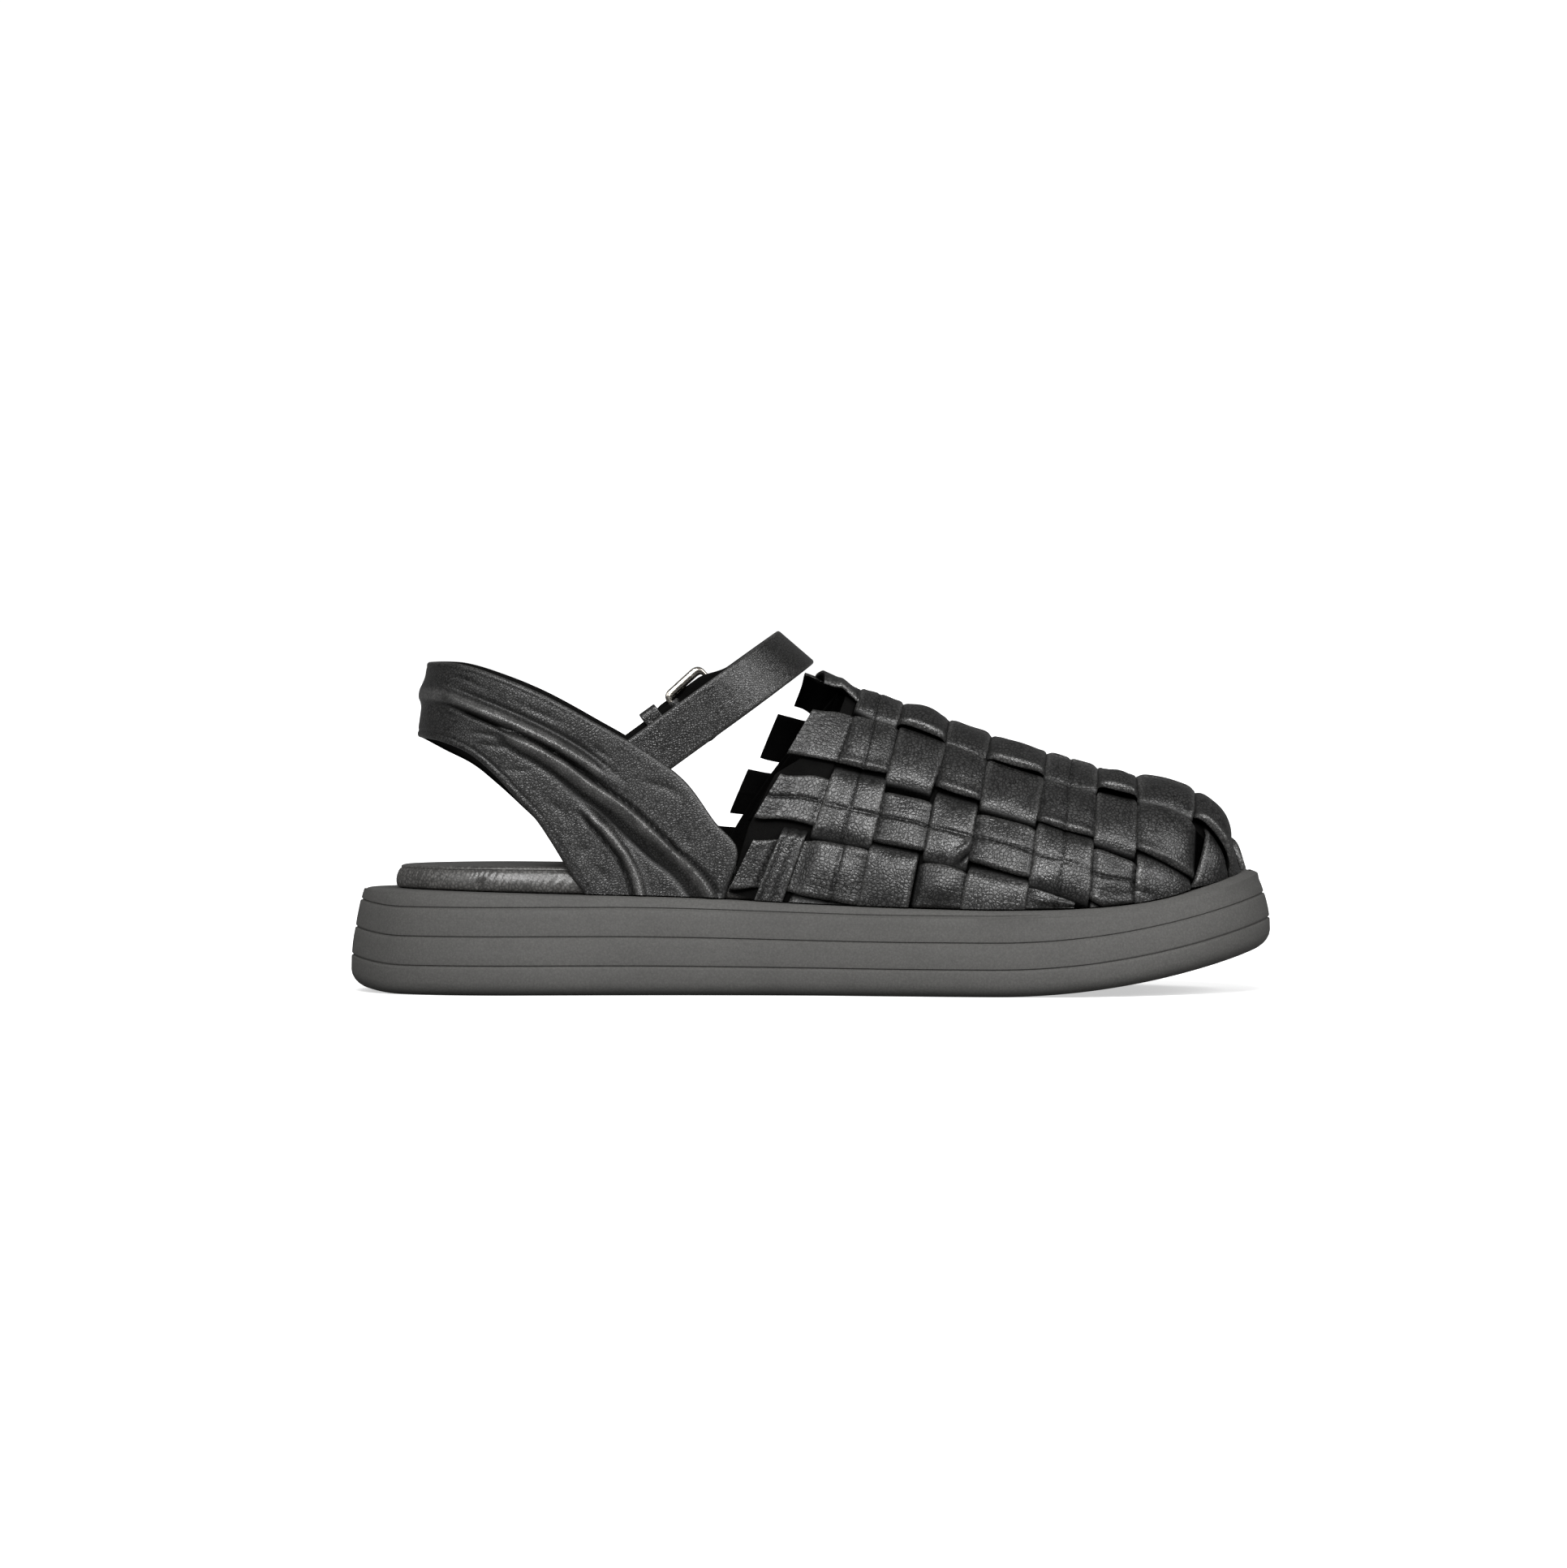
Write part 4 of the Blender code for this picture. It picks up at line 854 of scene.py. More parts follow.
def long_strip(k, thickness, puff):
    """Points, UVs and shares of a long strip, from its tab end at the collar to the toe or the base."""
    v, y, top_count = strip_outline(seam=k in SEWN_LONG)
    stations = long_stations(k)
    number = cross_number(stations)
    nearest = np.clip(np.rint(number), 1, CROSS_STRIPS)
    tab = ramp(*TAB_START, stations)
    over = on_top(k + number + 1)
    if (k + CROSS_STRIPS) % 2:
        over = np.maximum(over, UNDER_TOE * ramp(*UNDER_TOE_ENDS, stations))
    else:
        over = np.maximum(over, ramp(*OVER_TOE_ENDS, stations))
    cell = dome(number - nearest) * over * (1 - tab)
    puffs = puff * cell
    tilt = LONG_TILT * over * np.sin(1.7 * k + 2.9 * nearest)
    widen = LONG_SWELL * (2 * over - 1) * (1 - tab)
    for quirk in LONG_CELLS:
        if quirk.long == k:
            here = bell(number - quirk.cross, CELL_REACH) * over
            puffs = puffs + quirk.puff * here
            tilt = tilt + quirk.tilt * here
            widen = widen + quirk.widen * here
    widen = widen + 0.012 * np.sin(4.6 * stations + k) + TOE_SPREAD * ramp(*TOE_SPREAD_ENDS, stations)
    half = LONG_WIDTHS[k] / 2 * (1 + widen)
    middle = strip_middle(k, stations) + 0.22 * np.sin(1.9 * stations + 1.3 * k)
    low = np.maximum(middle - half, -whole_girth(stations, MEDIAL))
    high = np.minimum(middle + half, whole_girth(stations, LATERAL))
    keep = high - low > LEAST_WIDTH
    keep &= np.cumsum(~keep & (stations > 1)) == 0
    stations, low, high, over, cell, puffs, tilt, tab = (
        part[keep][:, None] for part in (stations, low, high, over, cell, puffs, tilt, tab)
    )
    girth = mix(low, high, (v + 1) / 2)
    ends, first = TAB_ENDS[k], min(TAB_ENDS[k])
    slant = mix(ends.low, ends.high, (v + 1) / 2) - first
    section = stations + slant * ramp(TAB_START[1], first, stations)
    seam = np.zeros_like(girth)
    for sewn in SEWN_CROSS:
        seam = np.maximum(seam, bell((stations - sewn) * SECTION_LENGTH, SEAM_HALF))
    if k in SEWN_LONG:
        seam = np.maximum(seam, bell(v * (high - low) / 2, SEAM_HALF))
    seam = seam * np.where(y > 0, 1, SEAM_UNDER) * (1 if k in SEWN_LONG else over)
    if k not in OUTERMOST:
        row = ROW_SHARE * bell((stations - stitch_row(k)) * SECTION_LENGTH, SEAM_HALF)
        seam = np.maximum(seam, row * (y > 0))
    height = tab_level(k, stations, weave_level(over)) + y * thickness / 2
    height = height + edge_roll(k, v, y) * over * (1 - TAB_FLAT * tab)
    height = height + puffs * (1 - v * v) - EDGE_DROOP * cell * v * v + tilt * v
    shown = over + (1 - over) * tab
    # Rolled edges painted paler: partly wear, partly a painted highlight
    wear = shown * ramp(*RUBBED_AND_HIGHLIT_EDGE, np.abs(v)) * (y >= 0)
    return ribbon(
        on_last(section, girth, height - SEAM_DEPTH * seam),
        stack(stations * SECTION_LENGTH / UV_UNIT, girth / UV_UNIT),
        {"wear": wear, "seam": seam, "shade": under_shade(shown)},
        top_count,
    )


def cross_strip(n, thickness, puff):
    """Points, UVs and shares of a cross strip, from base to base over the crest."""
    v, y, top_count = strip_outline(seam=n in SEWN_CROSS)
    first, last = CROSS_EDGES[n - 1]
    middle, half = (first + last) / 2, (last - first) / 2 + CROSS_SPREAD
    inner, outer = whole_girth(middle, MEDIAL), whole_girth(middle, LATERAL)
    run = [-inner, outer, *np.arange(-inner, outer, RUN_STEP)]
    for sewn in SEWN_LONG:
        seam_at = strip_middle(sewn, middle)
        if -inner < seam_at < outer:
            run += [seam_at + step for step in SEWN_RUNS]
    run = np.unique(run)[:, None]
    number = strip_number(middle, run)
    nearest = np.rint(number)
    over = on_top(number + n)
    cell = dome(number - nearest) * over
    widen = CROSS_SWELL * (2 * over - 1) + 0.015 * np.sin(run / 7.0 + n)
    slant, low = CROSS_SLANTS.get(n, STRAIGHT), ramp(*SLANT_ENDS, run)
    first_shift = mix(slant.first_high, slant.first_low, low)
    last_shift = mix(slant.last_high, slant.last_low, low)
    section = middle + half * (1 + widen) * v + first_shift * (1 - v) / 2 + last_shift * (1 + v) / 2
    girth = wrapped_girth(run, section, inner, outer)
    strip = strip_number(section, girth)
    over = on_top(strip + n)
    tilt = CROSS_TILT * over * np.sin(2.1 * nearest + 1.3 * n)
    seam = np.zeros_like(girth)
    for sewn in SEWN_LONG:
        seam = np.maximum(seam, bell((strip - sewn) * LONG_PITCH, SEAM_HALF))
    if n in SEWN_CROSS:
        seam = np.maximum(seam, bell(v * half * SECTION_LENGTH, SEAM_HALF))
    seam = seam * np.where(y > 0, 1, SEAM_UNDER)
    roll = CROSS_ROLL * bell(np.abs(v) - ROLL_PLACE, ROLL_HALF) * np.maximum(y, 0) * over
    height = weave_level(over) + y * thickness / 2 + roll
    height = height + puff * cell * (1 - v * v) - EDGE_DROOP * cell * v * v + tilt * v
    # Rolled edges painted paler: partly wear, partly a painted highlight
    wear, shade = over * ramp(*RUBBED_AND_HIGHLIT_EDGE, np.abs(v)) * (y >= 0), under_shade(over)
    if n == TWISTED:
        ridge, trough = twist_relief(section, girth)
        height = height + (ridge - TWIST_DEPTH * trough) * (y > 0)
        # The twisted ridge is painted paler as a painted highlight, and the trough beside it is painted shade
        wear, shade = np.maximum(wear, ridge), np.maximum(shade, trough)
    return ribbon(
        on_last(section, girth, height - SEAM_DEPTH * seam),
        stack(girth / UV_UNIT, v * 0.65),
        {"wear": wear, "seam": seam, "shade": shade},
        top_count,
    )


def collar_over(section, girth):
    """1 where the collar strip crosses over the outermost long strips, and 0 where it runs under the others."""
    strip, (start, end) = strip_number(section, girth), COLLAR_CROSSING
    return ramp(start, end, strip) + ramp(LONG_STRIPS - 1 - start, LONG_STRIPS - 1 - end, strip)


def collar_strip():
    """Points and shares of the narrow strip that binds the long strips at the collar."""
    v, y, top_count = strip_outline()
    inner, outer = whole_girth(COLLAR_MIDDLE, MEDIAL), whole_girth(COLLAR_MIDDLE, LATERAL)
    run = np.linspace(-inner, outer, COLLAR_STATIONS)[:, None]
    section = COLLAR_MIDDLE + COLLAR_HALF * v + 0 * run
    girth = wrapped_girth(run, section, inner, outer)
    over = collar_over(section, girth)
    height = mix(COLLAR_UNDER, COLLAR_OVER, over) + y * COLLAR_THICKNESS / 2
    seam = bell(np.abs(v) - COLLAR_ROWS, COLLAR_SEAM_HALF) * (y > 0)
    # Edges painted paler: partly wear, partly a painted highlight
    wear = ramp(0.7, 1.0, np.abs(v)) * (y >= 0) * over
    return ribbon(
        on_last(section, girth, height - SEAM_DEPTH * seam),
        stack(girth / UV_UNIT, v * 0.3),
        {"wear": wear, "seam": seam, "shade": 1 - over},
        top_count,
    )


# Dark tape under the tabs: girth and section of its open edge, round from the inner side to the outer side
LINING_EDGE = (
    (-76.0, -1.1), (-62.0, -1.2), (-56.0, -1.25), (-46.0, -1.15), (-39.0, -1.08), (-36.0, -0.85), (-33.0, -0.6),
    (-26.0, -0.2), (-18.0, 0.0), (18.0, 0.0), (30.0, -0.3), (76.0, -0.5),
)
LINING_END = 0.36
LINING_LEVEL = 0.05
LINING_THICKNESS = 0.6
LINING_STATIONS = 200


def collar_lining():
    """Points, UVs and shares of the tape that lines the tabs."""
    v, y, top_count = strip_outline()
    girths, sections = np.array(LINING_EDGE).T
    run = np.linspace(girths[0], girths[-1], LINING_STATIONS)[:, None]
    section = mix(np.interp(run, girths, sections), LINING_END, (v + 1) / 2)
    height = LINING_LEVEL + y * LINING_THICKNESS / 2 + 0 * section
    points = on_last(section, run + 0 * section, height)
    return ribbon(points, stack(run / UV_UNIT, section), {"wear": 0.0}, top_count)


VAMP_LINING = (0.25, TOE_SECTION - 0.02)
VAMP_LINING_LEVEL = -0.5
VAMP_LINING_STATIONS, VAMP_LINING_COLUMNS = 150, 81


def vamp_lining():
    """Points, UVs and shares of the thin lining under the weave, which closes the corners between the strips."""
    across = np.linspace(-1, 1, VAMP_LINING_COLUMNS)
    v = np.concatenate([across, across[::-1], across[:1]])[None, :]
    y = np.concatenate([0 * across + 1, 0 * across - 1, [1]])[None, :]
    section = np.linspace(*VAMP_LINING, VAMP_LINING_STATIONS)[:, None] + 0 * v
    girth = v * np.where(v < 0, whole_girth(section, MEDIAL), whole_girth(section, LATERAL))
    points = on_last(section, girth, VAMP_LINING_LEVEL + y * LINING_THICKNESS / 2 + 0 * girth)
    return ribbon(points, stack(section, girth / UV_UNIT), {"wear": 0.0}, len(across))


BAND_NUMBERS = np.arange(-BAND_END, BAND_END + 1)


def band_curve(name):
    values = column(BAND_LINES, name)
    return curve_through(BAND_NUMBERS, values[:0:-1] + values)


band_curves = {name: band_curve(name) for name in BandRow._fields}


def band_half(x, z):
    """Half the breadth inside the band, which narrows upward and closes in an ellipse at the back."""
    back = BAND_LINES[0]
    share = (z - back.low_z) / (back.top_z - back.low_z)
    reach = BAND_TURN - mix(back.low_x, back.top_x, share)
    depth = np.clip(np.maximum(BAND_TURN - x, 0.0) / reach, 0.0, 1.0)
    lean = 1 - BAND_LEAN * (z - sole_top(x)) / BAND_HEIGHT
    return (insole_half(np.maximum(x, BAND_TURN)) + GAP) * lean * np.sqrt(1 - depth * depth)


def band_point(line, across):
    """Inner face of the band, at a line counted from the back seam and a share across from the lower edge."""
    line, across = np.broadcast_arrays(np.asarray(line, float), np.asarray(across, float))
    low_x, low_z, top_x, top_z, set_back, drop = (band_curves[name](line) for name in BandRow._fields)
    lateral = line > 0
    x = mix(low_x, top_x - lateral * set_back, across)
    z = mix(low_z - lateral * drop, top_z, across)
    z = np.where(np.abs(line) == BAND_END, sole_top(x) + GAP, z)
    y = insole_centre(np.maximum(x, BAND_TURN)) + np.where(lateral, LATERAL, MEDIAL) * band_half(x, z)
    return stack(x, y, z)


def fold_relief(line, across, width, share):
    """Height of the gathered folds above the band, less the grooves beside them."""
    relief = np.zeros(np.broadcast_shapes(line.shape, across.shape))
    trough = np.zeros_like(relief)
    where = np.abs(line)
    # The folds lie lower and broader at the back of the heel
    deep = mix(0.1, 1.0, ramp(0.5, 1.8, where))
    tall = mix(0.5, 1.0, ramp(0.1, 2.0, where))
    broad = mix(1.0, 1.7, ramp(1.6, 0.2, where))
    for fold in BAND_FOLDS:
        last = fold.first + len(fold.across) - 1
        middle = curve_through(np.arange(fold.first, last + 1), fold.across)(where)
        fade = 1.0
        if fold.first > 0:
            fade = fade * ramp(fold.first + FOLD_START[0], fold.first + FOLD_START[1], where)
        if last < BAND_END:
            fade = fade * ramp(last + FOLD_FADE, last - FOLD_FADE, where)
        away = (across - middle) * width
        ridge = rolled(away, broad * np.where(away < 0, fold.down, fold.up))
        relief = np.maximum(relief, share * fold.height * tall * fade * ridge)
        for groove in fold.grooves:
            place = mix(groove.away_first, groove.away_last, ramp(fold.first, last - 1, where))
            trough = np.maximum(trough, groove.depth * fade * deep * bell(away - place, groove.half))
    return relief - trough


def crease_relief(line, across, width):
    """Depth of the listed creases, measured in millimetres on the band."""
    depth = np.zeros(np.broadcast_shapes(line.shape, across.shape))
    where = np.abs(line)
    for crease in BAND_CREASES:
        ends = np.array((crease.end_line - crease.line, crease.end_across - crease.across))
        ends = ends * np.array((CREASE_LINE, CREASE_ACROSS))
        along, over = (where - crease.line) * CREASE_LINE, (across - crease.across) * CREASE_ACROSS
        t = (along * ends[0] + over * ends[1]) / (ends @ ends)
        bow = CREASE_BOW * np.sin(3.0 * t + crease.line)
        away = (along * ends[1] - over * ends[0]) / math.sqrt(ends @ ends) + bow
        depth = np.maximum(depth, crease.depth * bell(away, crease.half) * bell(t - 0.5, CREASE_FADE))
    return depth


def round_end(depth, reach):
    """Fullness of a rounded edge at a depth into it: 0 at its rim and 1 from its reach on."""
    return np.sqrt(np.clip(1 - (1 - np.minimum(depth / reach, 1)) ** 2, 0, 1))


def heel_band(fold_share):
    """Points, UVs and shares of the gathered band round the heel."""
    line = np.linspace(-BAND_END, BAND_END, BAND_STATIONS + 1)[:, None]
    edge = np.array(BAND_EDGE)
    across = np.concatenate([edge, np.linspace(*BAND_COLUMNS), 1 - edge[::-1]])
    middle, columns = len(across) // 2, len(across)
    inner = band_point(line, across)
    normal = unit(np.cross(np.gradient(inner, axis=0), np.gradient(inner, across, axis=1)))
    if normal[BAND_STATIONS // 2, middle, 0] > 0:
        normal = -normal
    width = np.linalg.norm(inner[:, -1] - inner[:, 0], axis=-1)[:, None]
    from_edge = np.minimum(across, 1 - across)
    rounding = round_end(from_edge, BAND_EDGE[-1])
    hem = HEM_TOP.depth * bell((1 - across) * width - HEM_TOP.place, HEM_HALF)
    hem = hem + HEM_LOW.depth * bell(across * width - HEM_LOW.place, HEM_HALF)
    relief = fold_relief(line, across[None], width, fold_share) * ramp(0.0, 0.08, from_edge)
    relief = relief - hem - crease_relief(line, across[None], width)
    outer = inner + normal * (BAND_WALL / 2 * (1 + rounding) + relief * rounding)[..., None]
    lining = inner + normal * (BAND_WALL / 2 * (1 - rounding))[..., None]
    uv = stack(distances(inner[:, middle])[:, None] / UV_UNIT, across * width / UV_UNIT)
    shares = {
        # Fold crests and edges painted paler: partly wear, partly a painted highlight
        "wear": BAND_WEAR_AND_HIGHLIGHT * ramp(0.6, 1.7, relief) + 0.5 * ramp(0.05, 0.0, from_edge),
        # The hem's groove painted darker: a painted shadow of the folded edge
        "seam": np.clip(hem / HEM_DARK, 0, 1),
        "shade": ramp(-0.2, -0.95, relief),
    }
    shares = {name: np.concatenate([each, 0 * each, each[:, :1]], axis=1) for name, each in shares.items()}
    return ribbon(
        np.concatenate([outer, lining[:, ::-1], outer[:, :1]], axis=1),
        np.concatenate([uv, uv[:, ::-1], uv[:, :1]], axis=1),
        shares,
        columns,
    )


RISE = np.array((math.cos(math.radians(STRAP_RISE)), 0.0, math.sin(math.radians(STRAP_RISE))))
OUTWARD = np.array((0.0, 1.0, 0.0))
ACROSS = np.cross(RISE, OUTWARD)
STRAP_CENTRE = float(insole_centre(np.array(STRAP_FOOT[0])))
STRAP_LEG = float(band_half(np.array(STRAP_FOOT[0]), np.array(STRAP_FOOT[1]))) - GAP - STRAP_THICKNESS


def outer_leg(points):
    """Places points given up the outer leg, outward from its inner face and across it."""
    points = np.asarray(points, float)
    cos, sin = math.cos(OUTER_SPLAY), math.sin(OUTER_SPLAY)
    along = points[..., 0] * cos - points[..., 1] * sin
    out = points[..., 0] * sin + points[..., 1] * cos
    foot = np.array((STRAP_FOOT[0], STRAP_CENTRE + STRAP_LEG, STRAP_FOOT[1])) + ACROSS * OUTER_LIFT
    return foot + along[..., None] * RISE + out[..., None] * OUTWARD + points[..., 2:3] * ACROSS


def hump(along):
    """How far the strap's end stands off the outer leg, over the buckle's bar and then over the tab."""
    return OVER_BAR * ramp(*HUMP_FRONT, along) + (OVER_TAB - OVER_BAR) * ramp(*HUMP_BACK, along)


def strap_rows():
    """Rows of the strap's outline from inside the band over the instep to the free end."""
    leg = np.linspace(-STRAP_TUCK, LOOP_START, LEG_STATIONS)[:-1]
    turn = np.pi * (np.linspace(0, 1, LOOP_STATIONS) - 0.5)
    tip = np.linspace(LOOP_START, STRAP_TIP, TIP_STATIONS)[1:]
    loop_along = LOOP_START + LOOP_HEIGHT * np.cos(turn)
    loop_side = STRAP_LEG * np.sin(turn)
    loop_side = loop_side + (turn > 0) * (hump(loop_along) + OUTER_SPLAY * LOOP_START * np.sin(turn))
    along = np.concatenate([leg, loop_along, tip])
    sideways = np.concatenate([
        -STRAP_LEG - TUCK_SPLAY * np.maximum(-leg, 0.0), loop_side, STRAP_LEG + hump(tip) + OUTER_SPLAY * tip
    ])
    twist = np.radians(-STRAP_TWIST) * np.concatenate([0 * leg, np.cos(turn), 0 * tip])
    cos, sin = np.cos(twist), np.sin(twist)
    across = stack(ACROSS[0] * cos + ACROSS[2] * sin, 0 * cos, ACROSS[2] * cos - ACROSS[0] * sin)
    lift = (sideways > 0) * STRAP_END_LIFT * ramp(*LIFT_ENDS, along)
    middle = np.array((STRAP_FOOT[0], STRAP_CENTRE, STRAP_FOOT[1])) + along[:, None] * RISE
    middle = middle + sideways[:, None] * OUTWARD + across * lift[:, None]
    normal = unit(np.cross(unit(np.gradient(middle, axis=0)), across))
    v, y, top_count = strip_outline()
    half = np.full(len(along), STRAP_WIDTH / 2)
    from_tip = np.maximum(TIP_ROUND - (tip - STRAP_TIP), 0)
    half[-len(tip):] *= np.sqrt(np.clip(1 - (from_tip / TIP_RADIUS) ** 2, TIP_LEAST, 1))
    rows = middle[:, None] + across[:, None] * v[..., None] * half[:, None, None]
    rows = rows + normal[:, None] * (y[..., None] + 1) * STRAP_THICKNESS / 2
    uv = stack(distances(middle)[:, None] / UV_UNIT, v * STRAP_WIDTH / 2 / UV_UNIT)
    # Edges painted paler: partly wear, partly a painted highlight
    return ribbon(rows, uv, {"wear": ramp(*STRAP_RUB_AND_HIGHLIGHT, np.abs(v)), "seam": 0.0}, top_count)


def tab_rows():
    """Rows of the tab's outline: flat up the outer leg, then curled round the buckle's back bar."""
    flat = np.linspace(-TAB_TUCK, BAR_BACK[0] - TAB_BEND, LEG_STATIONS)
    turn = np.radians(np.linspace(*CURL_ENDS, TIP_STATIONS))
    radius = (CURL_OUTER + CURL_HOLE) / 2
    x = np.concatenate([flat, BAR_BACK[0] + radius * np.cos(turn)])
    y = np.concatenate([0 * flat + TAB_THICKNESS / 2, BAR_BACK[1] + radius * np.sin(turn)])
    thick = np.concatenate([0 * flat + TAB_THICKNESS, 0 * turn + CURL_OUTER - CURL_HOLE])
    tangent = unit(np.gradient(stack(x, y), axis=0))
    v, rise, top_count = strip_outline()
    offset = rise * thick[:, None] / 2
    rows = stack(x[:, None] - tangent[:, 1:] * offset, y[:, None] + tangent[:, :1] * offset, v * TAB_WIDTH / 2)
    uv = stack(np.arange(len(x))[:, None] * UV_STEP, v * TAB_WIDTH / 2 / UV_UNIT)
    # Edges painted paler: partly wear, partly a painted highlight
    return ribbon(outer_leg(rows), uv, {"wear": ramp(*STRAP_RUB_AND_HIGHLIGHT, np.abs(v)), "seam": 0.0}, top_count)


def rounded_loop(half_a, half_b, corner, steps):
    """A rounded rectangle as a closed run of points."""
    points = []
    for quarter, (a, b) in enumerate(((1, 1), (-1, 1), (-1, -1), (1, -1))):
        angle = np.radians(np.linspace(90 * quarter, 90 * quarter + 90, steps))
        middle = np.array((a * (half_a - corner), b * (half_b - corner)))
        points.append(middle + corner * stack(np.cos(angle), np.sin(angle)))
    points = np.concatenate(points)
    dense = []
    for point, ahead in zip(points, np.roll(points, -1, axis=0)):
        count = max(1, int(np.linalg.norm(ahead - point) / LOOP_STEP))
        dense.append(point + (ahead - point) * np.arange(count)[:, None] / count)
    dense = np.concatenate(dense)
    return np.concatenate([dense, dense[:1]])


def loop_directions(loop):
    """Directions along a closed run of points whose last point is its first."""
    ahead = np.roll(loop[:-1], -1, axis=0) - np.roll(loop[:-1], 1, axis=0)
    return unit(np.concatenate([ahead, ahead[:1]]))


def keeper_rows():
    """Rows of the keeper's outline, a closed band round the tab and the strap's end."""
    low, high = -GAP, OVER_TAB + STRAP_THICKNESS + GAP
    half_out = (high - low) / 2 + KEEPER_WALL / 2
    half_across = STRAP_WIDTH / 2 + GAP + KEEPER_WALL / 2
    loop = rounded_loop(half_out, half_across, KEEPER_CORNER, 7)
    ahead = loop_directions(loop)
    v, rise, top_count = strip_outline()
    offset = rise * KEEPER_WALL / 2
    rows = stack(
        KEEPER_CENTRE + v * KEEPER_WIDTH / 2,
        (low + high) / 2 + loop[:, :1] + ahead[:, 1:] * offset,
        loop[:, 1:] - ahead[:, :1] * offset,
    )
    uv = stack(np.arange(len(loop))[:, None] * UV_STEP, v * KEEPER_WIDTH / 2 / UV_UNIT)
    # Edges painted paler: partly wear, partly a painted highlight
    wear = ramp(0.8, 1.0, np.abs(v)) + 0 * loop[:, :1]
    return outer_leg(rows), uv, {"wear": wear, "seam": 0 * wear}, top_count


def tube_rows(path, tangent, radius, breadth, sides):
    """Rings of a bar along a path in the outer leg's axes."""
    flat = unit(np.cross(tangent, OUTWARD))
    up = np.cross(flat, tangent)
    angle = np.linspace(0, 2 * np.pi, sides + 1)[None, :, None]
    radius, breadth = (np.broadcast_to(size, len(path))[:, None, None] for size in (radius, breadth))
    return path[:, None] + breadth * flat[:, None] * np.cos(angle) + radius * up[:, None] * np.sin(angle)


def buckle_rows():
    """Rings of the buckle's wire frame, a tilted loop that rises over the strap's end."""
    middle, half = (BAR_BACK[0] + BAR_FRONT[0]) / 2, (BAR_FRONT[0] - BAR_BACK[0]) / 2
    slope = (BAR_FRONT[1] - BAR_BACK[1]) / (BAR_FRONT[0] - BAR_BACK[0])
    loop = rounded_loop(half, BUCKLE_HALF, BUCKLE_CORNER, 9)
    cos, sin = math.cos(BUCKLE_TILT), math.sin(BUCKLE_TILT)
    along, over = loop[:, 0] * cos - loop[:, 1] * sin, loop[:, 1] * cos + loop[:, 0] * sin
    path = stack(middle + along, BAR_BACK[1] + slope * (loop[:, 0] + half), over)
    at_side = ramp(BUCKLE_HALF - BUCKLE_CORNER, BUCKLE_HALF, np.abs(loop[:, 1]))
    breadth = mix(BUCKLE_WIRE, SIDE_BAR, at_side)
    return outer_leg(tube_rows(path, loop_directions(path), BUCKLE_WIRE, breadth, 20))


def prong_rows():
    """Rings of the prong, a straight bar with rounded ends."""
    start, end = (np.array((along, depth, 0.0)) for along, depth in PRONG_ENDS)
    share = np.concatenate([PRONG_TIP, np.linspace(0.1, 0.9, 14), 1 - np.array(PRONG_TIP[::-1])])
    from_end = np.minimum(share, 1 - share) * np.linalg.norm(end - start)
    radius = PRONG_RADIUS * round_end(from_end, PRONG_RADIUS)
    path = mix(start, end, share[:, None])
    return outer_leg(tube_rows(path, unit(np.gradient(path, axis=0)), radius, radius, 16))


def lay_grid(name, points, uv=None, shares=None, top_count=None):
    """Adds a grid and lays its corners on rows of points given in millimetres, then closes its seams.

    shares holds values kept with the corners for the materials, and faces past top_count columns, the underside,
    take the second material.
    """
    rows, columns = points.shape[0] - 1, points.shape[1] - 1
    bpy.ops.object.select_all(action="DESELECT")
    bpy.ops.mesh.primitive_grid_add(x_subdivisions=columns, y_subdivisions=rows, size=2.0)
    piece = bpy.context.object
    piece.name = name
    mesh = piece.data
    mesh.name = name
    flat = np.empty(len(mesh.vertices) * 3, np.float32)
    mesh.vertices.foreach_get("co", flat)
    grid = flat.reshape(-1, 3)
    i = np.rint((grid[:, 0] + 1) / 2 * columns).astype(int)
    k = np.rint((grid[:, 1] + 1) / 2 * rows).astype(int)
    corners = np.empty(len(mesh.loops), np.int32)
    mesh.loops.foreach_get("vertex_index", corners)
    if uv is not None:
        mesh.uv_layers.active.data.foreach_set("uv", uv[k, i][corners].astype(np.float32).ravel())
    for title, values in (shares or {}).items():
        kept = mesh.attributes.new(title, "FLOAT", "POINT")
        kept.data.foreach_set("value", values[k, i].astype(np.float32))
    if top_count is not None:
        first = i[corners].reshape(-1, 4).min(axis=1)
        under = (first >= top_count) & (first < 2 * top_count - 1)
        mesh.polygons.foreach_set("material_index", under.astype(np.int32))
    mesh.vertices.foreach_set("co", (points[k, i] * MM).astype(np.float32).ravel())
    bpy.ops.object.mode_set(mode="EDIT")
    bpy.ops.mesh.select_all(action="SELECT")
    bpy.ops.mesh.remove_doubles(threshold=MERGE * MM)
    bpy.ops.mesh.normals_make_consistent(inside=False)
    bpy.ops.object.mode_set(mode="OBJECT")
    bpy.ops.object.shade_smooth_by_angle(angle=math.radians(SMOOTH_BELOW))
    return piece


def dress(piece, slot, materials, *nodes):
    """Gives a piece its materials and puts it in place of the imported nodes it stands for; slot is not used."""
    for material in materials:
        piece.data.materials.append(material)
    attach(piece, "root")
    if nodes:
        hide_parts(*nodes)


def face_normals(points, rows_along):
    """Outward directions on a strip's top face, whose rows run along the shoe or across it."""
    down, over = np.gradient(points, axis=0), np.gradient(points, axis=1)
    return unit(np.cross(down, over) if rows_along else np.cross(over, down))


def point_at(where, length, values):
    return np.array([np.interp(where, length, values[:, axis]) for axis in range(3)])


